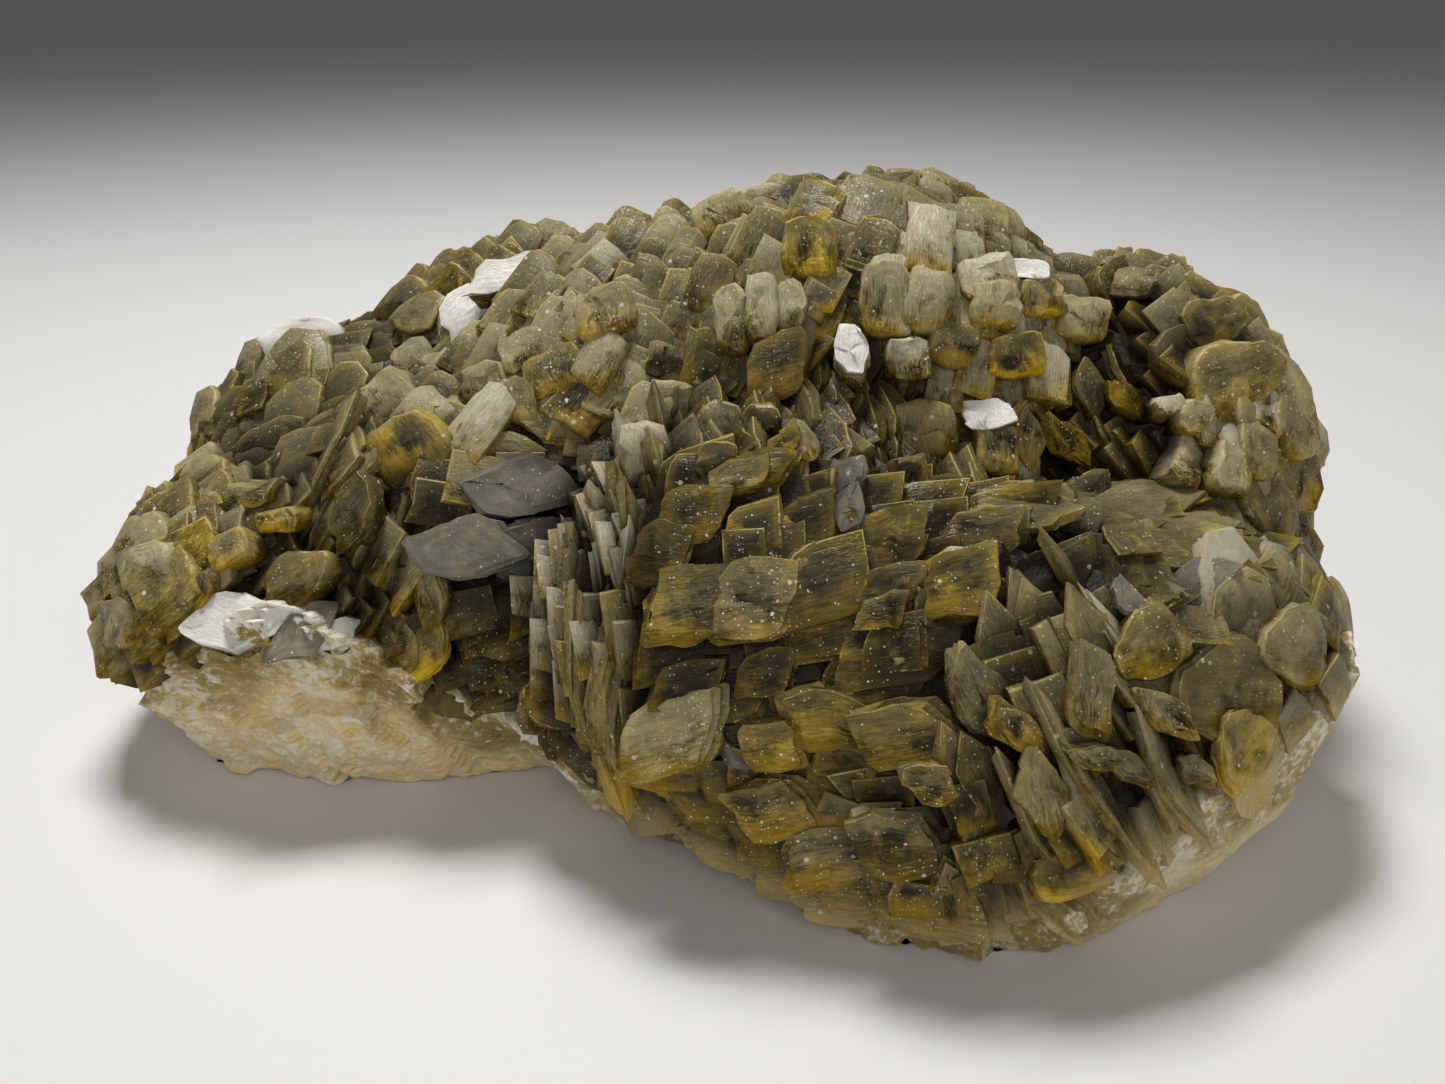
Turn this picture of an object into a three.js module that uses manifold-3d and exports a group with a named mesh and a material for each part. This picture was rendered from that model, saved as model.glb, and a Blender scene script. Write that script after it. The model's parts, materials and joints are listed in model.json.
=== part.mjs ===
// Raw siderite: a cluster of flattened rhombohedral crystals, grown together on their own massive
// root. The root is broken off underneath and along its front and right edges, and the specimen
// rests on the broken underside. Millimetres, +Z up, the show side faces -Y.
import * as THREE from "three";
import { mergeVertices } from "three/addons/utils/BufferGeometryUtils.js";
import Module from "manifold-3d";

// ---- Driving dimensions -------------------------------------------------------------------------

// The massive root is a blend of rounded lobes: centre, half axes, and turn about Z in degrees.
const LOBES = [
  { name: "crest", at: [30, 14, 40], half: [66, 48, 80], turn: 0 },
  { name: "saddle", at: [-16, 20, 38], half: [52, 43, 70], turn: 20 },
  { name: "shoulder", at: [-58, 0, 28], half: [46, 42, 54], turn: 18 },
  { name: "left end", at: [-98, -4, 26], half: [41, 38, 36], turn: 0 },
  { name: "left back", at: [-92, 38, 36], half: [40, 36, 44], turn: 10 },
  { name: "back", at: [-44, 50, 38], half: [54, 33, 62], turn: 8 },
  { name: "right", at: [90, 16, 46], half: [44, 46, 55], turn: 0 },
  { name: "prow", at: [52, -46, 22], half: [52, 45, 49], turn: 0 },
  { name: "belly", at: [8, -30, 34], half: [50, 43, 50], turn: 0 },
  { name: "toe", at: [88, -30, 27], half: [42, 41, 36], turn: 0 },
];
const LOBE_BLEND = 12; // width of the soft valley between two lobes
const HEART = [12, 2, 34]; // every part of the root's surface can be seen from here
const ROOT_REACH = [195, 124, 130]; // half axes of an ellipsoid that surely holds the root
const DRAWING_STEPS = 60; // steps that bring a corner of the mesh in to the root's surface
const STEP_SHARE = 0.7; // share of the distance left that each of these steps takes
const TINY = 1e-9;
const UNDER_BLOCK = [400, 300, 100]; // a block that covers all that lies below the underside
const ROOT_DETAIL = 5; // subdivisions of the icosahedron that the root is drawn from

// Fracture faces: a point on each, the way it faces, and the lobes that it breaks off.
const FRACTURES = [
  { at: [-100, -36, 25], faces: [-0.1, -0.97, -0.24], lobes: ["left end", "shoulder"] },
  { at: [-126, -24, 16], faces: [-0.72, -0.55, -0.42], lobes: ["left end"] },
  { at: [-66, -40, 14], faces: [0.2, -0.86, -0.46], lobes: ["shoulder", "left end"] },
  { at: [-40, -46, 15], faces: [-0.42, -0.8, -0.42], lobes: ["belly", "saddle"] },
  { at: [93, -72, 12], faces: [0.5, -0.8, -0.34], lobes: ["toe", "prow"] },
  { at: [124, -40, 22], faces: [0.85, -0.48, -0.22], lobes: ["toe", "right"] },
];

// Crystals grow only above this edge. Its height over the underside, along X, in front and behind.
const FRONT_EDGE = [
  [-140, 24], [-112, 36], [-93, 48], [-79, 45], [-65, 38], [-52, 29], [-31, 27], [-18, 17],
  [-8, 8], [48, 5], [67, 15], [81, 26], [103, 33], [134, 38],
];
const BACK_EDGE = [[-140, 24], [-100, 16], [-40, 20], [20, 14], [80, 18], [134, 30]];
const FRONT_TO_BACK = [-10, 20]; // the edge passes from one line to the other between these Y

// Outlines of a plate, as shares of its half length and half width.
const OUTLINES = {
  rhomb: [[1, 0], [0, 1], [-1, 0], [0, -1]],
  slab: [[1, 0.84], [-0.6, 0.84], [-1, -0.84], [0.6, -0.84]],
  block: [[0.88, 0.88], [-0.88, 0.88], [-0.88, -0.88], [0.88, -0.88]],
  disc: [[1, 0], [0.52, 0.86], [-0.52, 0.86], [-1, 0], [-0.52, -0.86], [0.52, -0.86]],
};
const TAPER = 0.82; // a plate's outer face is this much smaller than its inner one

// Families of parallel crystals. Each row holds the family's name, the middle of its patch, the
// way its plates face (azimuth from the front, elevation), the roll of their long axis, and a
// plate's outline, length, width and thickness. Thin blades that stand on edge, and all the
// plates behind, are drawn thicker, so that one stands for two or three crystals side by side.
const FAMILIES = [
  ["prow scales", [12, -78, 30], [-12, 24], 35, "slab", [21, 17, 7]],
  ["middle shingles", [18, -58, 70], [-8, 34], 28, "slab", [22, 17, 8]],
  ["low shelf", [14, -72, 52], [-5, 58], 8, "slab", [24, 17, 7]],
  ["column", [-29, -46, 58], [78, 4], 90, "rhomb", [28, 20, 10]],
  ["left fan", [-68, -36, 56], [-80, 25], 90, "rhomb", [27, 18, 9]],
  ["grey flats", [-46, -34, 62], [14, 34], -10, "rhomb", [24, 16, 8]],
  ["dark discs", [-50, -42, 42], [-6, 62], 20, "disc", [24, 20, 11]],
  ["shoulder bricks", [-50, -2, 90], [-10, 40], 65, "block", [23, 18, 15]],
  ["crest bricks", [6, -8, 104], [-12, 32], 75, "block", [22, 17, 14]],
  ["summit", [26, 18, 118], [-10, 50], 80, "block", [24, 20, 16]],
  ["right bricks", [54, -14, 95], [8, 38], 80, "block", [18, 15, 13]],
  ["hollow", [22, -32, 84], [-65, 20], 80, "slab", [26, 20, 14]],
  ["upper fan", [80, -18, 84], [80, 28], 90, "rhomb", [29, 19, 9]],
  ["big lenses", [108, 0, 86], [24, 30], 25, "disc", [28, 20, 9]],
  ["frosted knobs", [116, -20, 70], [42, 34], 40, "block", [20, 17, 13]],
  ["long laths", [86, -44, 66], [4, 72], 6, "rhomb", [30, 20, 9]],
  ["petals", [106, -58, 48], [36, 26], 30, "disc", [21, 18, 8]],
  ["toe fan", [72, -86, 34], [74, 38], 90, "rhomb", [28, 20, 9]],
  ["tall lenses", [46, -82, 46], [22, 14], 106, "rhomb", [27, 17, 8]],
  ["left knobs", [-118, -12, 50], [-32, 36], 50, "block", [23, 19, 15]],
  ["left round", [-98, 14, 72], [-22, 44], 20, "disc", [24, 21, 14]],
  ["left ridge", [-108, 46, 66], [-70, 20], 70, "slab", [36, 30, 21]],
  ["back ridge", [-44, 58, 94], [-66, 14], 75, "slab", [32, 27, 20]],
  ["top right", [78, 34, 100], [20, 42], 60, "block", [27, 24, 18]],
  ["back slope", [20, 58, 74], [176, 30], 30, "slab", [34, 27, 15]],
  ["back left", [-84, 66, 40], [205, 22], 60, "slab", [34, 27, 16]],
  ["back low", [-20, 76, 34], [100, 12], 80, "slab", [35, 27, 18]],
  ["back right", [96, 54, 50], [140, 28], 50, "slab", [36, 32, 20]],
  ["right end", [130, 16, 58], [84, 20], 40, "slab", [28, 23, 14]],
  ["left end", [-138, 12, 36], [-84, 24], 70, "slab", [29, 23, 16]],
].map(crystalRow);
const PITCH = [0.68, 0.8, 1.05]; // spacing of plates, as shares of their length, width, thickness
const FAMILY_REACH = 70; // a family's plates lie no farther than this from its middle
const STANDS_PROUD = 4.6; // how far a plate stands out of the root
const SIZE_SPREAD = 0.16; // plates differ in size by up to this share, either way
const TURN_SPREAD = 0.14; // and in direction by up to this, in radians
const SITE_SPREAD = 0.1; // and in place by up to this share of their spacing
const SEAT_SPREAD = 1.5; // and in how far they stand out, by up to this
const DRAPE = 0.35; // share by which plates lean over to follow the root's surface

// Single large crystals, in rows of the same form.
const LARGE_CRYSTALS = [
  ["tan plate", [-6, -72, 39], [-18, 30], 30, "slab", [21, 14, 6]],
  ["middle plate", [-3, -65, 62], [-12, 34], 25, "slab", [25, 16, 7]],
  ["second plate", [12, -65, 62], [-4, 34], 20, "disc", [18, 15, 7]],
  ["amber plate", [43, -64, 64], [-14, 30], 50, "slab", [20, 15, 7]],
  ["grey face", [-43, -29, 69], [10, 38], -8, "rhomb", [25, 14, 8]],
  ["left grey face", [-51, -36, 58], [6, 32], 2, "rhomb", [22, 13, 8]],
  ["right grey face", [-38, -36, 58], [14, 36], -16, "rhomb", [20, 13, 8]],
  ["frosted block", [-67, -12, 79], [-6, 30], 78, "block", [17, 15, 14]],
  ["amber block", [-62, -25, 70], [-8, 18], 78, "block", [19, 14, 13]],
  ["right lens", [104, -13, 86], [18, 30], 12, "disc", [30, 20, 8]],
  ["rim lens", [112, 16, 92], [22, 34], 30, "disc", [26, 19, 8]],
  ["grey leaf", [87, -55, 60], [12, 42], 8, "rhomb", [23, 13, 6]],
  ["tall lens", [45, -81, 51], [26, 10], 108, "rhomb", [27, 14, 6]],
  ["low lens", [54, -88, 33], [10, 14], 96, "rhomb", [21, 14, 6]],
  ["summit crystal", [26, 20, 118], [-16, 28], 18, "disc", [19, 15, 10]],
  ["white cap", [-104, 48, 74], [-14, 48], 12, "disc", [22, 16, 8]],
  ["white block", [-60, 26, 86], [-28, 44], 64, "block", [20, 15, 12]],
  ["yellow sliver", [70, -25, 75], [52, 14], 122, "rhomb", [24, 11, 5]],
  ["right blade", [83, -20, 84], [78, 26], 92, "rhomb", [34, 19, 7]],
  ["scale", [18, -80, 22], [-20, 20], 12, "slab", [23, 16, 6]],
  ["upper scale", [35, -82, 43], [-14, 28], 20, "slab", [21, 15, 6]],
  ["toe petal", [94, -72, 36], [34, 20], 40, "disc", [20, 17, 7]],
  ["tall brick", [9, -15, 101], [-10, 22], 84, "block", [21, 14, 12]],
  ["crest brick", [31, -17, 101], [4, 24], 86, "block", [15, 11, 12]],
].map(crystalRow);
const CLEARANCE = 0.62; // a plate's centre keeps this share of a large crystal's width from it
const SPAN_SHARES = [0.4, 0.4, 0.5]; // how far a plate reaches along its axes, as shares of its size
const HASH_PRIMES = [73856093, 19349663, 83492791, 1274126177]; // for repeatable chance
const HASH_MIXERS = [1540483477, 668265263];
const LARGE_STAND_PROUD = 6; // how far a large crystal stands out of the root

function crystalRow([name, at, faces, roll, outline, size]) {
  return { name, at, faces, roll, outline, size };
}

// ---- The root ------------------------------------------------------------------------------------

function fractureDistance(fracture, point) {
  const normal = new THREE.Vector3(...fracture.faces).normalize();
  return point.clone().sub(new THREE.Vector3(...fracture.at)).dot(normal);
}

function lobeDistance(lobe, point) {
  const turn = THREE.MathUtils.degToRad(lobe.turn);
  const dx = point.x - lobe.at[0];
  const dy = point.y - lobe.at[1];
  const inLobe = new THREE.Vector3(
    dx * Math.cos(turn) + dy * Math.sin(turn),
    dy * Math.cos(turn) - dx * Math.sin(turn),
    point.z - lobe.at[2],
  );
  const half = new THREE.Vector3(...lobe.half);
  const scaled = inLobe.clone().divide(half);
  const steepness = scaled.clone().divide(half).length();
  const round = (scaled.length() * (scaled.length() - 1)) / Math.max(steepness, TINY);
  const breaks = FRACTURES.filter((fracture) => fracture.lobes.includes(lobe.name));
  return Math.max(round, ...breaks.map((fracture) => fractureDistance(fracture, point)));
}

// Distance from the root's surface, below zero inside. The lobes melt into each other.
function rootDistance(point) {
  let distance = lobeDistance(LOBES[0], point);
  for (const lobe of LOBES.slice(1)) {
    const next = lobeDistance(lobe, point);
    const share = THREE.MathUtils.clamp(0.5 + (0.5 * (next - distance)) / LOBE_BLEND, 0, 1);
    distance = next * (1 - share) + distance * share - LOBE_BLEND * share * (1 - share);
  }
  return distance;
}

function rootNormal(point) {
  const step = 0.5; // mm either way
  const slope = (x, y, z) => rootDistance(point.clone().add(new THREE.Vector3(x, y, z)));
  return new THREE.Vector3(
    slope(step, 0, 0) - slope(-step, 0, 0),
    slope(0, step, 0) - slope(0, -step, 0),
    slope(0, 0, step) - slope(0, 0, -step),
  ).normalize();
}

// The root as a closed mesh: an icosphere whose corners come in from outside to the surface.
function rootGeometry() {
  const sphere = new THREE.IcosahedronGeometry(1, ROOT_DETAIL);
  const heart = new THREE.Vector3(...HEART);
  const reach = new THREE.Vector3(...ROOT_REACH);
  const corners = sphere.getAttribute("position");
  const corner = new THREE.Vector3();
  for (let index = 0; index < corners.count; index++) {
    const offset = corner.fromBufferAttribute(corners, index).clone().multiply(reach);
    const direction = offset.clone().normalize();
    let travel = offset.length();
    for (let step = 0; step < DRAWING_STEPS; step++) {
      const here = heart.clone().addScaledVector(direction, travel);
      travel -= rootDistance(here) * STEP_SHARE;
    }
    const surface = heart.clone().addScaledVector(direction, travel);
    corners.setXYZ(index, surface.x, surface.y, surface.z);
  }
  return sphere;
}

// ---- Solids --------------------------------------------------------------------------------------

const wasm = await Module();
wasm.setup();

function toSolid(geometry) {
  const bare = geometry.clone();
  bare.deleteAttribute("normal");
  bare.deleteAttribute("uv");
  const merged = mergeVertices(bare);
  return new wasm.Manifold(
    new wasm.Mesh({
      numProp: 3,
      vertProperties: new Float32Array(merged.getAttribute("position").array),
      triVerts: new Uint32Array(merged.getIndex().array),
    }),
  );
}

function toGeometry(solid) {
  const mesh = solid.getMesh();
  const geometry = new THREE.BufferGeometry();
  geometry.setAttribute("position", new THREE.BufferAttribute(mesh.vertProperties, 3));
  geometry.setIndex(new THREE.BufferAttribute(mesh.triVerts, 1));
  geometry.computeVertexNormals();
  return geometry;
}

// Everything below the underside, which is flat where the specimen was broken off.
function belowUnderside() {
  const block = new THREE.BoxGeometry(...UNDER_BLOCK);
  block.translate(0, 0, -UNDER_BLOCK[2] / 2);
  return toSolid(block);
}

// ---- Crystals ------------------------------------------------------------------------------------

// One number from -1 to 1 that depends only on the lattice site and on what it is used for.
function chance(i, j, k, use) {
  const [first, second, third, fourth] = HASH_PRIMES;
  let hash = Math.imul(i, first) ^ Math.imul(j, second) ^ Math.imul(k, third);
  hash ^= Math.imul(use + 1, fourth);
  hash = Math.imul(hash ^ (hash >>> 13), HASH_MIXERS[0]);
  hash = Math.imul(hash ^ (hash >>> 15), HASH_MIXERS[1]);
  return ((hash ^ (hash >>> 16)) >>> 0) / 2 ** 31 - 1;
}

// Long axis, wide axis and face normal of a plate that faces (azimuth, elevation), rolled.
function plateAxes([azimuth, elevation], roll) {
  const az = THREE.MathUtils.degToRad(azimuth);
  const el = THREE.MathUtils.degToRad(elevation);
  const turn = THREE.MathUtils.degToRad(roll);
  const face = new THREE.Vector3(Math.sin(az) * Math.cos(el), -Math.cos(az) * Math.cos(el), Math.sin(el));
  const level = new THREE.Vector3(Math.cos(az), Math.sin(az), 0);
  const rise = new THREE.Vector3().crossVectors(face, level);
  const long = level.clone().multiplyScalar(Math.cos(turn)).addScaledVector(rise, Math.sin(turn));
  const wide = new THREE.Vector3().crossVectors(face, long);
  return [long, wide, face];
}

// A flattened rhombohedron: a plate with the outline given, its outer face a little smaller.
function plateSolid(outline, [length, width, thickness], axes, centre) {
  const corners = OUTLINES[outline].map(([x, y]) => new THREE.Vector2((x * length) / 2, (y * width) / 2));
  const depth = { depth: thickness, bevelEnabled: false };
  const plate = new THREE.ExtrudeGeometry(new THREE.Shape(corners), depth);
  plate.translate(0, 0, -thickness / 2);
  const places = plate.getAttribute("position");
  for (let index = 0; index < places.count; index++) {
    const scale = places.getZ(index) > 0 ? TAPER : 1;
    places.setXY(index, places.getX(index) * scale, places.getY(index) * scale);
  }
  plate.applyMatrix4(new THREE.Matrix4().makeBasis(...axes).setPosition(centre));
  return toSolid(plate);
}

function lineHeight(line, x) {
  for (let index = 1; index < line.length; index++) {
    const [x0, z0] = line[index - 1];
    const [x1, z1] = line[index];
    if (x <= x1) {
      return THREE.MathUtils.lerp(z0, z1, THREE.MathUtils.clamp((x - x0) / (x1 - x0), 0, 1));
    }
  }
  return line.at(-1)[1];
}

// Height of the crystals' lower edge at a place.
function growthEdge(point) {
  const [front, back] = FRONT_TO_BACK;
  const share = THREE.MathUtils.clamp((point.y - front) / (back - front), 0, 1);
  return THREE.MathUtils.lerp(lineHeight(FRONT_EDGE, point.x), lineHeight(BACK_EDGE, point.x), share);
}

function nearestFamily(point) {
  const away = FAMILIES.map((family) => point.distanceTo(new THREE.Vector3(...family.at)));
  return FAMILIES[away.indexOf(Math.min(...away))];
}

// A plate seated on the root so that its outer edge stands out of the surface as far as asked.
function seatedPlate(outline, size, axes, place, proud) {
  const normal = rootNormal(place);
  const spans = axes.map((axis, index) => Math.abs(axis.dot(normal)) * size[index] * SPAN_SHARES[index]);
  const depth = proud - spans[0] - spans[1] - spans[2];
  const centre = place.clone().addScaledVector(normal, depth - rootDistance(place));
  return plateSolid(outline, size, axes, centre);
}

// A plate's own axes: its family's, leaned over the root and turned a little at random.
function leanedAxes(axes, normal, turns) {
  const face = axes[2].clone()
    .addScaledVector(normal, DRAPE)
    .addScaledVector(axes[0], turns[0] * TURN_SPREAD)
    .addScaledVector(axes[1], turns[1] * TURN_SPREAD)
    .normalize();
  const wide = new THREE.Vector3().crossVectors(face, axes[0]).normalize();
  return [new THREE.Vector3().crossVectors(wide, face), wide, face];
}

function crowdsLargeCrystal(site) {
  return LARGE_CRYSTALS.some((crystal) => {
    return site.distanceTo(new THREE.Vector3(...crystal.at)) < crystal.size[1] * CLEARANCE;
  });
}

// The plate that grows at one site of a family's lattice, or nothing where the site is too far
// from the root's surface, in another family's patch, below the growth edge or taken.
function platesAt(family, axes, pitch, i, j, k) {
  const random = (use) => chance(i, j, k, use);
  const site = new THREE.Vector3(...family.at)
    .addScaledVector(axes[0], (i + 0.5 * (j & 1) + random(0) * SITE_SPREAD) * pitch[0])
    .addScaledVector(axes[1], (j + random(1) * SITE_SPREAD) * pitch[1])
    .addScaledVector(axes[2], (k + random(2) * SITE_SPREAD) * pitch[2]);
  const distance = Math.abs(rootDistance(site));
  if (distance > Math.max(...pitch) || nearestFamily(site) !== family) {
    return [];
  }
  const normal = rootNormal(site);
  const skin = Math.min(...axes.map((axis, index) => pitch[index] / Math.abs(axis.dot(normal))));
  if (distance > skin / 2 || site.z < growthEdge(site) || crowdsLargeCrystal(site)) {
    return [];
  }
  const size = family.size.map((side, index) => side * (1 + random(3 + index) * SIZE_SPREAD));
  const ownAxes = leanedAxes(axes, normal, [random(6), random(7)]);
  return [seatedPlate(family.outline, size, ownAxes, site, STANDS_PROUD + random(8) * SEAT_SPREAD)];
}

// All the plates of one family.
function familyPlates(family) {
  const axes = plateAxes(family.faces, family.roll);
  const pitch = family.size.map((side, index) => side * PITCH[index]);
  const [iEnd, jEnd, kEnd] = pitch.map((side) => Math.ceil(FAMILY_REACH / side));
  const plates = [];
  for (let i = -iEnd; i <= iEnd; i++) {
    for (let j = -jEnd; j <= jEnd; j++) {
      for (let k = -kEnd; k <= kEnd; k++) {
        plates.push(...platesAt(family, axes, pitch, i, j, k));
      }
    }
  }
  return plates;
}

function largeCrystal(crystal) {
  const axes = plateAxes(crystal.faces, crystal.roll);
  const place = new THREE.Vector3(...crystal.at);
  return seatedPlate(crystal.outline, crystal.size, axes, place, LARGE_STAND_PROUD);
}

// ---- The specimen --------------------------------------------------------------------------------

function largestBody(solid) {
  const bodies = solid.decompose();
  return bodies.reduce((largest, body) => (body.volume() > largest.volume() ? body : largest));
}

let cluster = toSolid(rootGeometry());
for (const plate of [...FAMILIES.flatMap(familyPlates), ...LARGE_CRYSTALS.map(largeCrystal)]) {
  cluster = cluster.add(plate);
}
cluster = largestBody(cluster.subtract(belowUnderside()));

const geometry = toGeometry(cluster);
geometry.computeBoundingBox();
const middle = geometry.boundingBox.getCenter(new THREE.Vector3());
geometry.translate(-middle.x, -middle.y, -geometry.boundingBox.min.z);

const stone = new THREE.MeshStandardMaterial({ color: 0x5c5226, roughness: 0.45, metalness: 0 });
const siderite = new THREE.Mesh(geometry, stone);
siderite.name = "siderite_cluster";

const specimen = new THREE.Group();
specimen.add(siderite);

export default specimen;
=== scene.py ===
"""Raw siderite specimen: fine crystals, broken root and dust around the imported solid.

Laid out as an add-on and run as a script. Lengths in the tables are millimetres in the frame the
specimen grew in; everything made from them is moved by TO_FRAME and scaled to metres.
"""

import json
from typing import NamedTuple

import bmesh
import bpy
import numpy as np
from mathutils import Euler, Matrix, Vector, noise

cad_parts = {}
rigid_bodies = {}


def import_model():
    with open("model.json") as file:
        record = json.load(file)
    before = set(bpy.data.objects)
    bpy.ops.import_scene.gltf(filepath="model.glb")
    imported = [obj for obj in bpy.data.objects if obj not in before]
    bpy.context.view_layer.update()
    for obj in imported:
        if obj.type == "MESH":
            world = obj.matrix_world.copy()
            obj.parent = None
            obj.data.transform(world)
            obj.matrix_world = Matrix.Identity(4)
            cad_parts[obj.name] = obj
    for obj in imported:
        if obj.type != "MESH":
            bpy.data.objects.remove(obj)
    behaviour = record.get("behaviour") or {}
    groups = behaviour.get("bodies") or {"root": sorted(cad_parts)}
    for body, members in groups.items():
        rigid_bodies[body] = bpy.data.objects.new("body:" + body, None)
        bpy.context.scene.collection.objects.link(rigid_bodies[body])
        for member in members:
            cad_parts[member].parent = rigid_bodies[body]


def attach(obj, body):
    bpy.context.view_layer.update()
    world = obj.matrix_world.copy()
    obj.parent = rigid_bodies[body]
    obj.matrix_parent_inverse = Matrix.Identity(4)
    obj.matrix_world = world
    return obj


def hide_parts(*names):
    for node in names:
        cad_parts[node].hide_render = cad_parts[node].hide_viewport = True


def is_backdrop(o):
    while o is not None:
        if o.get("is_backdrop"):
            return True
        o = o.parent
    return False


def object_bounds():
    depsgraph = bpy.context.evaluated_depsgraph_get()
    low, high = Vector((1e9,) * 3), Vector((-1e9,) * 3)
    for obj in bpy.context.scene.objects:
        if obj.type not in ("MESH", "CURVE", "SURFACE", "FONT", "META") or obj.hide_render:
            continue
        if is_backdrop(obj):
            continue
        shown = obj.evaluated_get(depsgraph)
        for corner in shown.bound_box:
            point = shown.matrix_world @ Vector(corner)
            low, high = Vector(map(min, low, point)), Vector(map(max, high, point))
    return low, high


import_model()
cad_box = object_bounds()

bl_info = {
    "name": "Raw Siderite Specimen",
    "version": (1, 0, 0),
    "blender": (4, 5, 0),
    "location": "View3D > Sidebar > Siderite",
    "description": "Grows fine crystals on a broken root, around the packed siderite solid",
    "category": "Object",
}

NODE = "siderite_cluster"
MM = 0.001
TO_FRAME = np.array([1.272, 5.452, 0.0])  # from the growth frame to the middle of the solid's box
BOX_MARGIN = 0.2  # kept free in mm inside the solid's box
TINY = 1e-9
NUDGE = 0.5  # step in mm for slopes


class Growth(NamedTuple):
    """A family of parallel crystals, or one large crystal."""

    piece: str
    name: str
    at: tuple  # the middle of a family's patch, or of the crystal
    faces: tuple  # azimuth from the front and elevation in degrees
    roll: float  # of the long axis, in degrees
    outline: str
    size: tuple
    look: tuple  # darkness, frost with painted sheen, and amber with painted glow

    def axes(self):
        return plate_axes(self.faces, self.roll)


class Crystal(NamedTuple):
    """One crystal as it stands: its place in mm, its mesh and its finish."""

    centre: np.ndarray
    axes: np.ndarray
    size: np.ndarray
    shape: int
    look: tuple
    tint: float
    calm: float


def growths(table):
    """The rows of a table of pieces, each row with its piece."""
    made = [Growth(piece, *row) for piece, rows in table.items() for row in rows]
    for growth in made:
        if growth.outline not in KINDS:
            raise ValueError(f"{growth.name} has an unknown outline, {growth.outline}")
    return made


# ---- The root's shape ---------------------------------------------------------------------------

# Rounded lobes: name, centre, half axes, turn about Z in degrees.
LOBES = [
    ("crest", (30, 14, 40), (66, 48, 80), 0),
    ("saddle", (-16, 20, 38), (52, 43, 70), 20),
    ("shoulder", (-58, 0, 28), (46, 42, 54), 18),
    ("left end", (-98, -4, 26), (41, 38, 36), 0),
    ("left back", (-92, 38, 36), (40, 36, 44), 10),
    ("back", (-44, 50, 38), (54, 33, 62), 8),
    ("right", (90, 16, 46), (44, 46, 55), 0),
    ("prow", (52, -46, 22), (52, 45, 49), 0),
    ("belly", (8, -30, 34), (50, 43, 50), 0),
    ("toe", (88, -30, 27), (42, 41, 36), 0),
]
LOBE_BLEND = 12.0
HEART = np.array([12.0, 2.0, 34.0])
ROOT_REACH = np.array([195.0, 124.0, 130.0])
DRAWING_STEPS = 60
STEP_SHARE = 0.7

# Fracture faces: a point on each, the way it faces, and the lobes it breaks off.
FRACTURES = [
    ((-100, -36, 25), (-0.1, -0.97, -0.24), ("left end", "shoulder")),
    ((-126, -24, 16), (-0.72, -0.55, -0.42), ("left end",)),
    ((-66, -40, 14), (0.2, -0.86, -0.46), ("shoulder", "left end")),
    ((-40, -46, 15), (-0.42, -0.8, -0.42), ("belly", "saddle")),
    ((93, -72, 12), (0.5, -0.8, -0.34), ("toe", "prow")),
    ((124, -40, 22), (0.85, -0.48, -0.22), ("toe", "right")),
]

# Height of the crystals' lower edge along X, in front and behind.
FRONT_EDGE = [
    (-140, 24), (-112, 36), (-93, 48), (-79, 45), (-65, 38), (-52, 29), (-31, 27), (-18, 17),
    (-8, 8), (40, 7), (56, 15), (70, 22), (84, 31), (103, 37), (134, 42),
]
BACK_EDGE = [(-140, 24), (-100, 16), (-40, 20), (20, 14), (80, 18), (134, 30)]
FRONT_TO_BACK = (-10.0, 20.0)
RAGGED_SIZE = 9.0
RAGGED_HEIGHT = 3.0
BREAK_SOFT = 0.8
BARE_ABOVE = 4.0  # the mesh is finer from the floor to this far above the edge
BARE_FROM = -6.0
# Ledge of broken root standing out under that edge: widest at its middle in front on the left,
# thin along a longer span there, and faint on the right.
LEDGE_OUT = 5.0
LEDGE_DEPTH = 12.0
LEDGE_MIDDLE = -90.0
LEDGE_WIDTH = 17.0
LEDGE_SPAN = (-106.0, -48.0)
LEDGE_ENDS = 6.0
LEDGE_THIN = 0.45  # share of its width along that span
LEDGE_RIGHT = 66.0
LEDGE_FAINT = 0.4  # share of its width on the right
LEDGE_BACK = (8.0, 34.0)  # how far back it reaches on the left and on the right
LEDGE_FADE = 12.0
# Facets of the broken faces and of the root between crystals: size in mm and tilt.
BROKEN_FACETS = (12.0, 0.45)
CHIPPED_FACETS = (4.5, 0.4)
GROWN_FACETS = (7.0, 0.5)
GROWN_LOWER = 1.4
CRUMB_SIZE = 3.0
CRUMB_HEIGHT = 0.3
CHIPS_AWAY = 40  # from the facets, so that the two patterns differ
FACET_HEIGHT = 0.12  # of its size
FACET_LEANS = 7.3
ROUGH_LEAST, ROUGH_LEDGE = 0.3, 0.5
FACETS_LEAST = 0.35
RIGHT_SMOOTHER, RIGHT_FLATTER = 0.75, 0.7
CHALK_RIGHT, CHALK_CRUMBS, CHALK_RAGGED = 0.35, 1.2, 0.3
FOOT_BELOW = 2.0
FOOT_WAVES = 12.0
FOOT_RISE = 1.2
ROOT_SHARP = 26  # degrees between faces, past which an edge is sharp
# Towards that edge on the right the crystals pale into the root.
PALE_ABOVE = 5.0
PALE_DEPTH = 9.0
PALE_FROM = -26.0
PALE_FADE = 15.0
# Crumbly patch where a lump broke off.
CRUMBS_AT = np.array([-30.0, -44.0, 20.0])
CRUMBS_REACH = np.array([13.0, 10.0, 11.0])
CRUMBS_EDGE = 1.4

# ---- Crystals -----------------------------------------------------------------------------------

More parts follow.
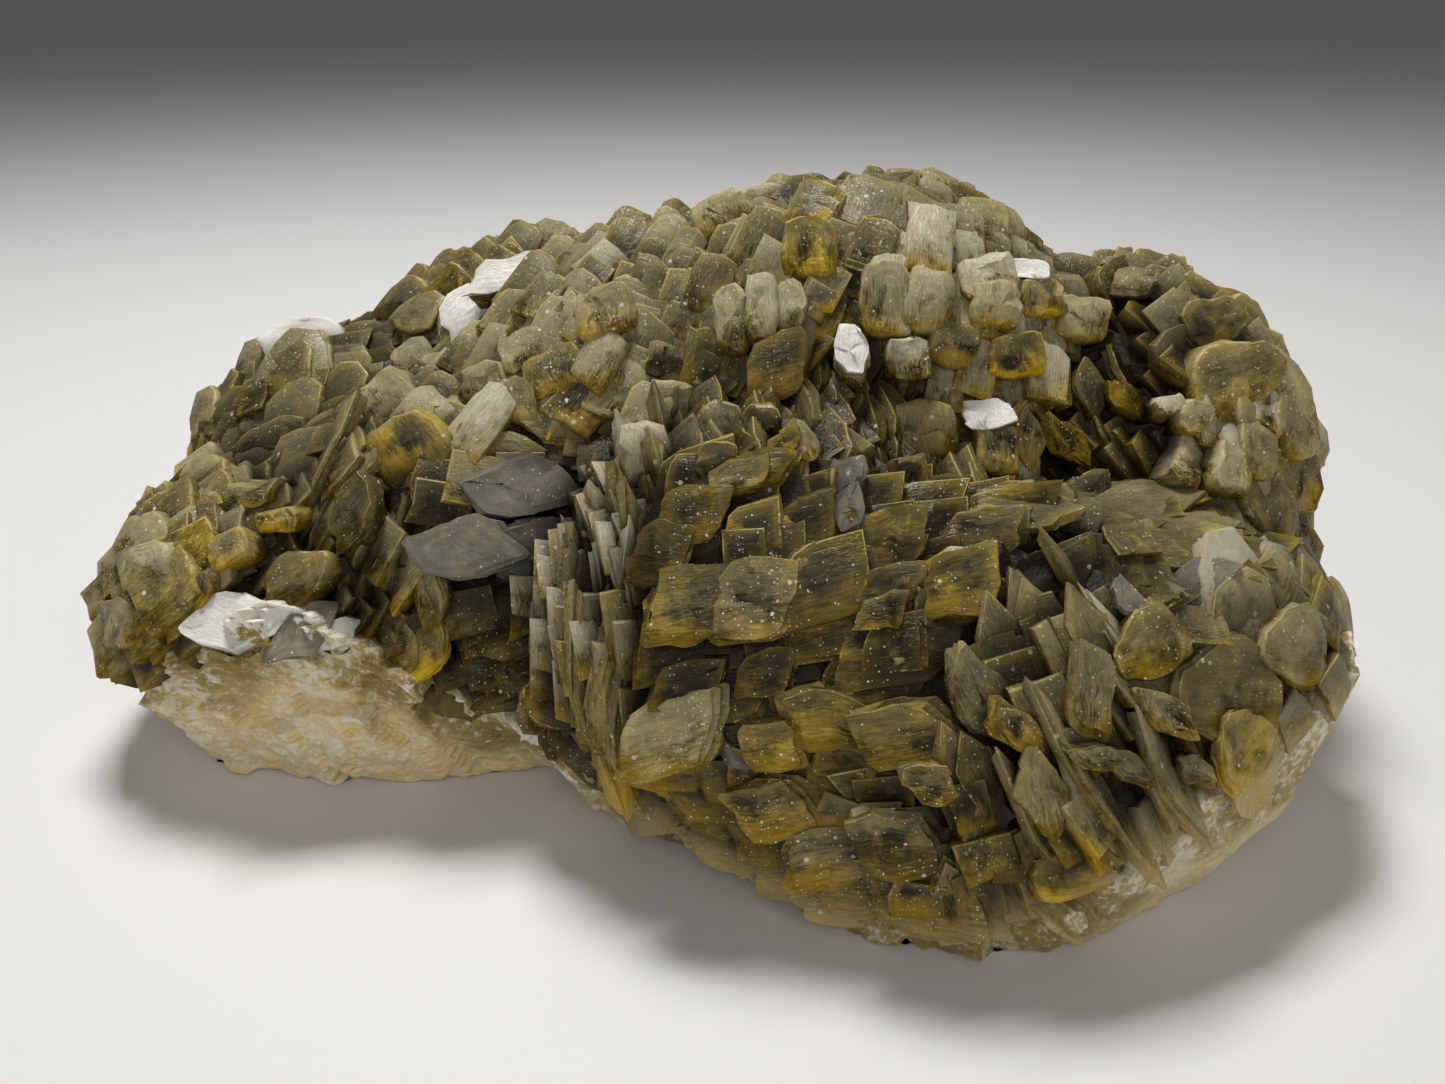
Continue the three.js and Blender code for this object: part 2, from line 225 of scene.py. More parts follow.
# Outlines of a plate as four corners in a square of half size 1: each is x, y and how much of the
# edges beside it the rounding takes.
OUTLINES = {
    "rhomb": ((1, 0.05, 0.1), (0.18, 1, 0.34), (-1, -0.05, 0.1), (-0.18, -1, 0.34)),
    "slab": ((1, 0.95, 0.1), (-0.5, 1, 0.34), (-1, -0.9, 0.12), (0.55, -1, 0.26)),
    "scale": ((0.6, 1, 0.36), (-1, 0.9, 0.12), (-0.5, -1, 0.26), (1, -0.8, 0.26)),
    "block": ((1, 0.95, 0.26), (-0.95, 1, 0.2), (-1, -0.95, 0.24), (0.9, -1, 0.28)),
    "chip": ((1, 0.9, 0.1), (-0.8, 1, 0.1), (-1, -0.9, 0.1), (0.8, -1, 0.1)),
}
ROUND = ("disc", "petal")  # drawn as an uneven circle, swollen and flat
ROUND_POINTS = (12, 20)  # round a plain one and a large one
ROUND_UNEVEN = 0.04
ROUND_BULGES = (0.11, 0.06)  # three round the rim, and two
ROUNDED = 0.25  # corners above this are drawn as an arc
KINDS = [*OUTLINES, *ROUND]
ROUND_CALM = 0.6  # how smooth those are inside, from 0 to 1
CORNER_SPREAD = 0.07
ROUNDING_SPREAD = (0.8, 1.15)
SIDE_SPREAD = (0.98, 1.05)
POINT_SPREAD = 0.025
PILLOWS = ("block", "disc")  # swollen crystals, the others are flat plates with growth steps
# Rings of a crystal from its foot up: share of its outline, height and nearness to the rim.
PILLOW_RINGS = (
    (0.93, -1.0, 1.0), (1.0, -0.5, 1.0), (0.99, 0.62, 1.0), (0.95, 0.88, 0.96),
    (0.86, 0.99, 0.86), (0.66, 1.02, 0.66), (0.4, 1.04, 0.4),
)
PLAIN_PILLOW_RINGS = 5
PLATE_TOP_RINGS = ((0.93, 1.0, 0.93), (0.7, 1.02, 0.7), (0.4, 1.04, 0.4))
PLATE_FOOT = 0.93
PLATE_TOP = 0.96
CHIP_TOP = 0.9
STEP_AT = (0.3, 0.6)  # height of a plate's growth step
LARGE_STEPS_AT = ((0.0, 0.3), (0.45, 0.76))
STEP_HEADING = 0.6
STEP_DRIFT = (0.05, 0.13)
LAYER_SHRINKS = 0.03
LAYER_GAP, LAYER_BEVEL = 0.02, 0.03
PEAK = 1.05
BEND = 0.35
ROUND_BEND, PLATE_BEND = 1.3, 0.8  # times that for the round ones and the others
BEND_MIDDLE = 0.4
TWIST = 0.2
PILLOW_SHARP, PLATE_SHARP = 52, 30  # degrees between faces, past which an edge is sharp
UNEVEN_SHARP = 40  # the same once a crystal is made uneven
VARIANTS = 6
LARGE_VARIANTS = 4  # more of each outline, with finer edges, for the large crystals

# Families of parallel crystals of each piece: name, middle of the patch, facing (azimuth from the
# front, elevation), roll of the long axis, outline, one crystal's size, and its look: darkness,
# frost with its painted sheen, and amber with its painted glow, each from 0 to 1. A frost of 1.5
# is a painted white glint, an amber of -1 is plain grey as a painted sheen, and a darkness below 0
# is clearer than any other.
FAMILIES = growths({
    "prow": [
        ("prow scales", (12, -78, 30), (-12, 6), 8, "scale", (20, 14, 4), (0.6, 0.18, 0.35)),
        ("middle shingles", (18, -58, 70), (-8, 32), 14, "slab", (18, 12.5, 4.2), (0.9, 0.05, 0.3)),
        ("low shelf", (14, -72, 52), (-5, 46), 8, "slab", (18, 12.5, 4), (0.7, 0.06, 0.35)),
        ("tall lenses", (46, -82, 46), (22, 14), 106, "rhomb", (23, 13, 4), (0.35, 0.3, 0.35)),
    ],
    "left": [
        ("column", (-29, -46, 58), (78, 4), 90, "rhomb", (40, 14, 3.4), (0.2, 0.85, 0.6)),
        ("left fan", (-68, -36, 56), (-80, 25), 90, "rhomb", (30, 15, 4.8), (0.25, 0.3, 0.5)),
        ("grey flats", (-46, -34, 62), (14, 34), -10, "rhomb", (20, 13, 4), (0.6, 0.25, 0.15)),
        ("dark discs", (-50, -42, 42), (-6, 50), 20, "disc", (18, 15, 4), (0.65, 0.15, 0.15)),
        ("left knobs", (-118, -12, 50), (-32, 36), 50, "block", (13, 11, 7), (0.3, 0.45, 0.4)),
        ("left round", (-98, 14, 72), (-22, 44), 20, "disc", (18, 16, 6), (0.6, 0.25, 0.2)),
        ("left end", (-138, 12, 36), (-84, 24), 70, "slab", (16, 13, 5), (0.5, 0.3, 0.3)),
    ],
    "crest": [
        ("shoulder bricks", (-50, -2, 90), (-10, 40), 65, "block", (15, 11.5, 8),
         (0.75, 0.55, 0.7)),
        ("crest bricks", (6, -8, 104), (-12, 32), 75, "block", (17, 12, 8), (1.0, 0.35, 0.6)),
        ("summit", (26, 18, 118), (-10, 50), 80, "block", (13, 11, 7), (0.8, 0.3, 0.7)),
        ("right bricks", (54, -14, 95), (8, 38), 80, "block", (13.5, 11, 8), (0.05, 1.0, 0.7)),
        # The hollow's crystals are darker, partly as painted shade.
        ("hollow", (22, -32, 84), (-65, 20), 80, "slab", (18, 12, 4.4), (0.75, 0.15, 0.2)),
    ],
    "right": [
        ("upper fan", (80, -18, 84), (80, 28), 90, "rhomb", (34, 17, 5.4), (0.15, 0.15, 0.8)),
        ("big lenses", (108, 0, 86), (24, 30), 25, "disc", (24, 17, 5), (0.0, 0.4, 0.95)),
        ("frosted knobs", (116, -20, 70), (42, 34), 40, "disc", (16, 14, 6), (0.15, 0.6, 0.6)),
        ("long laths", (86, -44, 66), (4, 72), 6, "rhomb", (25, 15, 3.6), (0.2, 0.35, 0.6)),
        ("petals", (106, -58, 48), (36, 26), 30, "petal", (27, 21, 4), (-0.15, 0.8, 0.9)),
        ("toe fan", (76, -84, 36), (74, 38), 90, "rhomb", (38, 12, 2.4), (-0.25, 0.6, 0.9)),
        ("right end", (130, 16, 58), (84, 20), 40, "slab", (17, 14, 5), (0.3, 0.25, 0.5)),
    ],
    "back": [
        ("top right", (78, 34, 100), (20, 42), 60, "block", (16, 13, 7), (0.5, 0.35, 0.3)),
        ("left ridge", (-108, 46, 66), (-40, 32), 50, "disc", (17, 14, 7), (0.6, 0.3, 0.35)),
        ("back ridge", (-44, 58, 94), (-30, 34), 70, "block", (14, 12, 8), (0.8, 0.2, 0.5)),
        ("back slope", (20, 58, 74), (150, 22), 30, "slab", (21, 14, 5), (0.5, 0.2, 0.4)),
        ("back left", (-84, 66, 40), (205, 14), 60, "disc", (19, 15, 6), (0.4, 0.35, 0.5)),
        ("back low", (-20, 76, 34), (192, 6), 12, "scale", (22, 15, 5), (0.4, 0.2, 0.4)),
        ("back right", (96, 54, 50), (118, 14), 96, "rhomb", (26, 15, 5), (0.3, 0.2, 0.6)),
    ],
})
PIECES = ["prow", "left", "crest", "right", "back"]
PITCH = np.array([0.56, 0.6, 0.95])  # spacing, as shares of length, width and thickness
FAMILY_REACH = 62.0
SITE_SPREAD = 0.3
SIZE_SPREAD = 0.19
TURN_SPREAD = 0.12
SEAT_SPREAD = 0.42  # of its thickness
FACES_OUT = 0.35  # how much a crystal turns to face straight out of the root
# Each generation of crystals: its size over the family's, and how much lower it stands in mm.
GENERATIONS = ((1.0, 0.0), (0.72, 3.0))
USES = 20  # chances kept for each generation
SPAN_SHARES = np.array([0.4, 0.4, 0.5])
HANGING = 9.0  # how far in mm a crystal may reach below the growth edge
BURIED = 4.5  # how much lower a crystal stands in mm where a large one covers it
BURIES_ALL = 22.0  # length in mm of a large crystal that does so fully
BURIES_TO = 1.25  # where it stops doing so, as the square of a share of its half size
BURIES_FADE = 0.7
BURIES_DEEP = 5.0
UNEVEN = 1.1  # strength in mm of the ripples and chips that make every crystal its own shape
RIPPLES = 260.0  # per metre, as the next
CHIPS = 240.0
FILLING_PITCH = 5.6
FILLING_SIZE = (11.0, 9.0, 4.5)
FILLING_LIFT = 0.9  # how much a filling crystal turns to face straight out of the root
FILLING_LOWER = 2.0
FILLING_CHANCES = 60  # the first of its chances
# How far a crystal's look departs from its family's, and the few that glow more than the rest.
DARK_SPREAD, FROST_SPREAD, AMBER_SPREAD = 0.35, 0.85, 0.5
GLOWS_ABOVE = 0.72
EXTRA_GLOW = 0.6
TINT_STEP = 0.37  # from one large crystal to the next
WORD = 0xFFFFFFFF
HASH_PRIMES = (73856093, 19349663, 83492791, 1274126177)
HASH_MIXERS = (1540483477, 668265263)

# Single large crystals of each piece: name, centre, facing, roll, outline, size, look. Those with
# a frost of 1.5 are painted white glints.
# Shingles of the middle, from the foot of the bricks down.
LARGE_PROW = [
    ("top row plate", (2, -52, 79), (-10, 36), 20, "slab", (14, 7, 5), (0.35, 0.2, 0.4)),
    ("top row step", (8, -51, 81), (-8, 36), 2, "slab", (13, 7, 4.5), (0.35, 0.1, 0.4)),
    ("olive leaf", (11, -47, 84), (-20, 30), 44, "slab", (10, 5, 4), (0.2, 0.1, 0.8)),
    ("pale lens", (15, -46, 84), (10, 30), 90, "disc", (8, 5, 5), (0.05, 0.7, 0.6)),
    ("mossy plate", (-6, -56, 74), (-12, 34), 8, "slab", (15, 11, 5), (0.5, 0.05, 0.3)),
    ("grey step", (23, -49, 78), (4, 44), 10, "slab", (10, 8, 4), (0.5, 0.45, -1)),
    ("small grey", (22, -56, 75), (6, 44), 26, "slab", (8, 7, 4), (0.5, 0.5, -1)),
    ("lens plate", (16, -58, 73), (-4, 32), 24, "slab", (14, 11, 4.5), (0.6, 0.05, 0.15)),
    ("dark plate", (47, -32, 74), (-6, 36), 8, "slab", (12, 8, 4.5), (0.7, 0.05, 0.15)),
    ("narrow plate", (41, -46, 74), (-8, 36), 4, "slab", (8, 7, 4), (0.6, 0.1, 0.1)),
    ("brown plate", (33, -44, 75), (-6, 34), 16, "slab", (12, 10, 4.5), (0.35, 0.05, 0.4)),
    ("right step", (72, -32, 69), (0, 38), 4, "slab", (12, 7, 4.5), (0.4, 0.15, 0.3)),
    ("right grey top", (63, -50, 68), (-4, 38), 14, "slab", (15, 12, 4.5), (0.6, 0.3, 0.1)),
    ("purple plate", (-10, -60, 68), (-12, 34), 6, "slab", (14, 12, 5), (0.75, 0.05, 0.1)),
    ("olive plate", (29, -58, 70), (-8, 36), 10, "slab", (16, 12, 5), (0.25, 0.1, 0.4)),
    ("sparkling plate", (47, -57, 70), (-8, 34), 6, "slab", (19, 12, 5), (0.35, 0.2, 0.4)),
    ("first plate", (-7, -66, 61), (-10, 36), 10, "slab", (18, 14, 5.5), (0.4, 0.15, 0.4)),
    ("second plate", (7, -68, 63), (-4, 36), 4, "slab", (18, 15, 5.5), (0.35, 0.25, 0.25)),
    ("low brown plate", (28, -67, 65), (-8, 36), 14, "slab", (15, 8, 4), (0.45, 0.1, 0.2)),
    ("lower brown plate", (28, -70, 62), (-8, 36), 10, "slab", (12, 7, 4), (0.35, 0.1, 0.3)),
    ("amber plate", (40, -68, 66), (-14, 30), 20, "slab", (17, 13, 5), (0.1, 0.1, 0.65)),
    ("shadow plate", (60, -62, 65), (-4, 30), 20, "slab", (20, 11, 4.5), (0.9, 0.1, 0.0)),
    # Shelf and scales of the prow.
    ("shelf dark plate", (-7, -71, 48), (-14, 30), 14, "slab", (16, 9, 4.5), (0.6, 0.05, 0.2)),
    ("shelf middle plate", (8, -73, 52), (-10, 32), 12, "slab", (13, 8, 4.5), (0.5, 0.05, 0.2)),
    ("shelf plate", (25, -76, 52), (-6, 30), 4, "slab", (20, 10, 4.5), (0.35, 0.05, 0.35)),
    ("tan plate", (-8, -75, 40), (-20, 22), 24, "slab", (24, 14, 4.5), (0.0, 0.55, 0.35)),
    ("grey notch", (3, -74, 37), (2, 42), 0, "scale", (12, 9, 4), (0.5, 0.4, -1)),
    ("round brown scale", (10, -78, 40), (-10, 12), 8, "scale", (13, 11, 4.5), (0.3, 0.1, 0.35)),
    ("mossy scale", (16, -78, 46), (-10, 16), 4, "scale", (20, 12, 4.5), (0.45, 0.1, 0.3)),
    ("big brown scale", (32, -84, 47), (-6, 16), 12, "scale", (20, 12, 4.5), (0.4, 0.15, 0.3)),
    ("under scale", (34, -89, 40), (-4, 12), 4, "scale", (10, 8, 4.5), (0.35, 0.2, 0.3)),
    ("centre scale", (11, -80, 28), (-14, 6), 18, "scale", (19, 13, 4.5), (0.25, 0.15, 0.4)),
    ("amber scale", (18, -83, 20), (-10, 4), 22, "slab", (20, 13, 4.5), (0.25, 0.25, 0.4)),
    ("right scale", (31, -89, 28), (-4, 8), 4, "scale", (18, 14, 4.5), (0.45, 0.25, 0.15)),
    ("grey cheek", (-3, -68, 20), (-22, 8), 14, "scale", (22, 14, 4), (0.45, 0.4, 0.25)),
    ("grey heel", (-14, -56, 9), (-24, 30), 22, "scale", (14, 11, 4.5), (0.4, 0.45, -1)),
    ("foot scale", (0, -66, 9), (-22, 2), 10, "scale", (22, 12, 4.5), (0.1, 0.45, 0.4)),
    ("foot plate", (24, -80, 8), (-8, 0), 6, "scale", (22, 11, 4.5), (0.1, 0.5, 0.4)),
    ("tall lens", (44, -82, 50), (26, 12), 110, "rhomb", (27, 13, 5), (0.45, 0.4, 0.1)),
    ("amber wing", (48, -87, 50), (34, 16), 118, "rhomb", (13, 8, 4), (0.2, 0.15, 0.7)),
    ("low lens", (53.5, -90.5, 38), (12, 18), 100, "rhomb", (19, 12, 3.5), (0.25, 0.45, 0.3)),
]
# Left of the column.
LARGE_LEFT = [
    ("white column block", (-15, -37, 77), (14, 26), 90, "block", (16, 10, 9), (0.0, 1.0, 0.4)),
    ("grey face", (-42, -30, 69), (10, 30), -14, "rhomb", (28, 17, 4), (0.4, 0.5, -1)),
    ("left grey face", (-49.5, -39.5, 59.5), (6, 28), -8, "rhomb", (26, 16, 4), (0.4, 0.6, -1)),
    ("right grey face", (-39, -36, 58), (14, 28), -16, "rhomb", (23, 17, 4), (0.6, 0.2, -1)),
    ("olive shell", (-58, -45, 40), (-26, 30), 46, "slab", (12, 9, 3), (0.0, 0.2, 0.9)),
    ("lower olive shell", (-64, -44, 37), (-34, 26), 40, "slab", (10, 8, 3), (0.0, 0.2, 0.9)),
    ("upright lens", (-57, -41, 51), (-20, 24), 96, "rhomb", (16, 9, 4), (0.4, 0.4, 0.2)),
    ("dark fan blade", (-73, -33, 63), (-40, 24), 62, "slab", (17, 10, 6), (0.8, 0.15, 0.1)),
    ("white facet", (-97, -41.5, 43.5), (-12, 44), -16, "slab", (21, 13, 4), (0.0, 1.5, 0.0)),
    ("pale facet", (-85, -42.5, 42.5), (4, 40), 6, "slab", (15, 11, 4), (0.0, 0.9, -1)),
    ("end facet", (-77, -41.5, 41.5), (10, 36), -4, "slab", (10, 7, 4), (0.0, 1.5, 0.0)),
    ("frosted block", (-70, -7, 78), (-6, 30), 134, "block", (12, 14, 13), (0.1, 0.85, 0.5)),
    ("amber block", (-63, -20, 73), (-8, 18), 126, "block", (16, 17, 12), (0.0, 0.15, 1.0)),
    ("brown disc", (-85, -36, 51), (-26, 34), 38, "disc", (17, 12, 6), (0.3, 0.25, 0.3)),
    ("dark round", (-102, 7, 63), (-20, 34), 30, "disc", (20, 13, 9), (0.7, 0.2, 0.1)),
    ("light lath", (-99, -20, 63), (-20, 24), 14, "slab", (17, 6, 6), (0.2, 0.45, 0.3)),
    ("yellow block", (-89, -28, 61), (-20, 24), 104, "block", (5, 10, 8), (0.1, 0.2, 0.75)),
    ("striped yellow block", (-99, -31, 55), (-24, 34), 128, "block", (7, 10, 8), (0.1, 0.3, 0.75)),
    ("amber tip", (-104, -36, 50), (-20, 20), 80, "rhomb", (9, 6, 5), (0.2, 0.3, 0.6)),
    ("pale end lath", (-121, -3, 54), (-40, 24), 10, "slab", (18, 8, 7), (0.1, 0.5, 0.4)),
    ("white knob", (-117, -29, 51), (-34, 30), 120, "block", (9, 13, 7), (0.1, 0.9, 0.3)),
    ("rim knob", (-125, -30, 38), (-50, 20), 114, "block", (11, 17, 7), (0.2, 0.5, 0.5)),
]
# Bricks over the shoulder and the crest.
LARGE_CREST = [
    ("white cap", (-103, 36.5, 78.5), (-8, 30), 8, "disc", (22, 15, 6), (0.0, 1.5, 0.0)),
    ("white shoulder", (-60, 26, 88), (-14, 44), 50, "slab", (20, 14, 5), (0.0, 1.5, 0.0)),
    ("ridge glint", (-47, 26, 98), (-16, 52), 20, "slab", (24, 10, 6), (0.0, 1.5, 0.0)),
    ("pale shoulder", (-51, 29, 88), (-10, 36), 108, "block", (15, 12, 12), (0.0, 1.0, 0.3)),
    ("lower frosted", (-72, 25, 78), (-8, 34), 120, "block", (11, 11, 10), (0.2, 0.85, 0.2)),
    ("grey shoulder", (-41, -4, 88), (-12, 36), 112, "block", (10, 11, 11), (0.2, 0.75, 0.4)),
    ("amber shoulder", (-34, -10, 86), (-6, 34), 114, "block", (10, 13, 11), (0.3, 0.2, 0.8)),
    ("low grey brick", (-49, -9, 82), (-10, 34), 108, "block", (11, 10, 10), (0.3, 0.65, 0.2)),
    ("low amber brick", (-42, -14, 81), (-6, 30), 100, "block", (10, 9, 9), (0.3, 0.4, 0.6)),
    ("two tone brick", (-24, -6, 97), (-6, 34), 106, "block", (11, 13, 11), (0.1, 0.6, 1.0)),
    ("yellow edge brick", (1, 11, 113), (-24, 40), 130, "block", (11, 13, 10), (0.0, 0.7, 0.9)),
    ("striped brick", (18, -7, 110), (-6, 36), 94, "block", (13, 11, 11), (0.3, 0.2, 0.9)),
    ("left rib", (2, -16, 99), (-10, 34), 100, "block", (14, 6.5, 10), (0.5, 0.85, 0.3)),
    ("middle rib", (8, -16, 101), (-8, 36), 97, "block", (15, 7, 10), (0.4, 0.95, 0.4)),
    ("right rib", (14, -15, 100), (-10, 38), 93, "block", (12, 6.5, 11), (0.5, 0.85, 0.3)),
    ("tall brick", (10, -22, 91), (-10, 20), 16, "slab", (15, 14, 11), (0.55, 0.1, 0.6)),
    ("pale summit brick", (8, 18, 114), (-14, 40), 100, "block", (11, 13, 9), (0.1, 0.9, 0.4)),
    ("summit crystal", (26, 20, 120), (-16, 28), 12, "rhomb", (17, 12, 9), (0.0, 0.3, 1.0)),
    ("summit plate", (36, 11, 120), (0, 34), 8, "slab", (15, 8, 8), (0.3, 0.6, 0.4)),
    ("crest brick", (32, -17, 103), (4, 24), 88, "block", (15, 10, 11), (0.1, 0.85, 0.6)),
    ("second crest brick", (40, -17, 103), (2, 26), 82, "block", (14, 9.5, 11), (0.1, 0.9, 0.6)),
    ("frosted top", (53, -10, 105), (6, 42), 100, "block", (10, 13, 10), (0.2, 1.0, 0.1)),
    ("yellow frosted brick", (54, -14, 101), (4, 32), 88, "block", (10, 10, 11), (0.0, 0.8, 0.8)),
    ("orange brick", (64, -9, 101), (12, 34), 92, "block", (8, 9, 9), (0.0, 0.4, 1.0)),
    ("end brick", (73, -7, 96), (10, 34), 84, "block", (10, 12, 11), (0.1, 0.8, 0.7)),
    ("amber barrel", (58, -18, 92), (4, 24), 96, "block", (9, 12, 11), (0.2, 0.15, 1.0)),
    ("olive barrel", (45, -20, 95), (6, 24), 66, "block", (9, 10, 10), (0.5, 0.2, 0.5)),
    ("frosted low brick", (36, -24, 93), (2, 28), 90, "block", (8, 9, 10), (0.1, 1.0, 0.2)),
    ("square brick", (39, -28, 80), (0, 22), 92, "block", (13, 14, 10), (0.1, 0.4, 0.8)),
    ("white brick", (25, -26, 94), (-8, 44), 84, "slab", (12, 7, 5), (0.0, 1.5, 0.0)),
    ("white gap brick", (52, -27, 83), (-10, 46), 120, "slab", (9, 10, 5), (0.0, 1.5, 0.0)),
    ("white end brick", (62, -8, 106), (-8, 50), 100, "slab", (6, 8, 5), (0.0, 1.5, 0.0)),
    # Crystals of the hollow: the darker ones are partly painted shade.
    ("hollow brick", (-12, -13, 90), (-4, 24), 86, "block", (8, 7, 9), (0.7, 0.3, 0.1)),
    ("pale hollow brick", (-10, -22, 83), (-6, 24), 86, "block", (11, 9, 9), (0.1, 0.6, 0.9)),
    ("dark hollow disc", (-1, -46, 81), (-4, 24), 10, "disc", (9, 7, 9), (0.8, 0.15, 0.1)),
    ("capped brick", (0, -34, 84), (-2, 26), 94, "block", (8, 7, 9), (0.5, 0.7, 0.2)),
    ("hollow plate", (7, -36, 84), (0, 20), 94, "block", (9, 8, 9), (0.8, 0.1, 0.1)),
]
# Right side and toe.
LARGE_RIGHT = [
    ("upper blade", (83, 6, 98), (50, 34), 6, "slab", (22, 15, 6), (0.6, 0.15, 0.3)),
    ("grey ledge", (88, 4, 101), (14, 44), -4, "slab", (13, 7, 5), (0.4, 0.5, 0.1)),
    ("top slab", (86, 23, 99), (16, 40), 8, "slab", (16, 10, 6), (0.4, 0.35, 0.4)),
    ("top right slab", (101, 22, 98), (24, 36), 10, "slab", (14, 10, 6), (0.3, 0.35, 0.6)),
    ("rim lens", (110, 16, 89), (22, 34), 30, "disc", (26, 18, 6), (0.1, 0.2, 0.7)),
    ("upper lens", (103, -2, 94), (16, 36), 14, "disc", (17, 12, 6), (0.1, 0.2, 0.7)),
    ("right lens", (104, -14, 86), (20, 28), 10, "disc", (26, 16, 6), (-0.1, 0.3, 0.5)),
    ("edge disc", (124, 2, 76), (40, 22), 120, "disc", (13, 10, 5), (0.2, 0.05, 0.6)),
    ("right blade", (84, -12, 78), (78, 26), 92, "rhomb", (30, 17, 6), (0.5, 0.1, 0.4)),
    ("amber blade", (85, -17, 81), (48, 30), 130, "rhomb", (23, 10, 5), (0.2, 0.05, 0.8)),
    ("dark upright lens", (74, -18, 84), (20, 24), 90, "rhomb", (15, 9, 5), (0.7, 0.15, 0.15)),
    ("olive lens", (60, -27, 79), (14, 22), 86, "rhomb", (14, 9, 4.5), (0.35, 0.2, 0.4)),
    ("yellow sliver", (70, -25, 76), (40, 24), 124, "rhomb", (18, 7, 4), (0.0, 0.0, 1.2)),
    ("pale pebble", (89, -22, 83), (10, 40), 10, "disc", (6, 5, 5), (0.1, 1.0, 0.2)),
    ("olive pebble", (94, -23, 81), (20, 38), 8, "disc", (8, 7, 5), (0.2, 0.6, 0.5)),
    ("frosted knob", (92, -26, 72), (40, 34), 130, "block", (8, 12, 7), (0.2, 0.9, 0.2)),
    ("second knob", (101, -27, 71), (36, 36), 50, "block", (12, 9, 7), (0.2, 0.8, 0.4)),
    ("grey leaf", (87, -57, 61), (12, 44), 10, "rhomb", (23, 12, 4), (0.4, 0.7, -1)),
    ("little leaf", (70, -71, 64), (0, 30), 110, "rhomb", (10, 6, 3.5), (0.4, 0.6, -1)),
    ("amber disc", (74, -74, 58.5), (28, 28), 2, "petal", (17, 13, 3.5), (0.0, 0.25, 0.5)),
    ("upright plate", (61, -84, 54), (20, 20), 80, "slab", (18, 8, 4), (0.3, 0.4, 0.3)),
    ("pearl lens", (74.5, -82.5, 49.5), (28, 30), 130, "rhomb", (15, 8, 3.5), (0.1, 0.5, 0.6)),
    ("fan lens", (61, -88.5, 45), (24, 28), -30, "rhomb", (12, 6.5, 3), (0.1, 0.5, 0.3)),
    ("second fan lens", (68.5, -87, 41), (24, 28), -40, "rhomb", (12, 6, 3), (0.1, 0.45, 0.4)),
    ("large petal", (88, -72, 47), (32, 30), -20, "petal", (28, 20, 3.5), (-0.2, 0.4, 0.9)),
    ("veined disc", (107, -59.5, 49), (38, 28), -20, "petal", (21, 16, 3.5), (0.0, 0.5, 0.7)),
    ("small petal", (91, -77.5, 38), (30, 26), 24, "petal", (15, 13, 3.5), (-0.1, 0.25, 0.9)),
    ("toe petal", (95.5, -73.5, 36), (34, 20), 40, "petal", (20, 17, 3.5), (-0.1, 0.4, 0.7)),
    ("edge petal", (121, -43, 43.5), (52, 24), 20, "petal", (21, 17, 3.5), (0.0, 0.3, 0.7)),
    ("upper edge petal", (114, -30, 54), (48, 30), 10, "petal", (20, 16, 3.5), (0.1, 0.45, 0.6)),
    ("grey lens", (82, -82.5, 37), (30, 34), 130, "rhomb", (11, 6, 3), (0.1, 0.5, 0.3)),
    ("rim glint", (129, -30, 38), (72, 25), 60, "slab", (16, 6, 4), (0.0, 1.5, 0.0)),
    ("rim spot", (110, -62, 38), (48, 30), 50, "slab", (9, 6, 4), (0.0, 1.5, 0.0)),
    ("foot cushion", (59, -91, 22), (16, 20), -10, "disc", (17, 9, 7), (0.0, 0.15, 1.0)),
]
LARGE_CRYSTALS = growths({
    "prow": LARGE_PROW, "left": LARGE_LEFT, "crest": LARGE_CREST, "right": LARGE_RIGHT,
})

# ---- View and light -----------------------------------------------------------------------------

CAMERA_AT = np.array([0.0, -262.0, 165.0])
CAMERA_PITCH = 25.0  # degrees down
FOCAL_SHARE = 1251 / 1445  # focal length over the frame's width
SENSOR = 36.0
# Lamps, in metres and watts: name, place, size, power.
LAMPS = [
    ("key_lamp", (-0.12, 0.28, 1.05), (0.34, 0.28), 11.0),
    ("front_fill", (0.1, -1.15, 0.75), (2.6, 0.9), 7.0),
]
LAMP_COLOUR = (1.0, 0.98, 0.95)
LAMP_AIM = Vector((0, 0, 0.05))
WORLD_COLOUR = (0.97, 0.97, 1.0, 1)
WORLD_STRENGTH = 0.11
FLOOR_HALF = 12.0
FLOOR_TOP = -0.0002
FLOOR_ROUGHNESS = 0.6


# ---- The root, as a distance --------------------------------------------------------------------


def unit(vectors):
    """The vectors at length 1."""
    return vectors / np.linalg.norm(vectors, axis=-1, keepdims=True)


def ramp(values, start, length):
    """0 up to the start, 1 from a length past it, and straight between."""
    return np.clip((values - start) / length, 0, 1)


def lobe_distance(lobe, points):
    """Distance in mm from one lobe with its fracture faces, below zero inside."""
    name, centre, half, turn = lobe
    half = np.array(half, float)
    angle = np.radians(turn)
    x, y, z = (points - np.array(centre, float)).T
    along = x * np.cos(angle) + y * np.sin(angle)
    across = y * np.cos(angle) - x * np.sin(angle)
    scaled = np.column_stack((along, across, z)) / half
    length = np.linalg.norm(scaled, axis=1)
    steepness = np.maximum(np.linalg.norm(scaled / half, axis=1), TINY)
    distance = length * (length - 1) / steepness
    for at, faces, lobes in FRACTURES:
        if name in lobes:
            normal = np.array(faces, float) / np.linalg.norm(faces)
            distance = np.maximum(distance, (points - np.array(at, float)) @ normal)
    return distance


def root_distance(points):
    """Distance from the root's surface in mm, below zero inside."""
    distance = lobe_distance(LOBES[0], points)
    for lobe in LOBES[1:]:
        other = lobe_distance(lobe, points)
        share = np.clip(0.5 + 0.5 * (other - distance) / LOBE_BLEND, 0, 1)
        distance = other * (1 - share) + distance * share - LOBE_BLEND * share * (1 - share)
    return distance


def root_normal(points):
    """The way the root's surface faces at each point."""
    slopes = [root_distance(points + away) - root_distance(points - away)
              for away in np.eye(3) * NUDGE]
    return unit(np.column_stack(slopes))


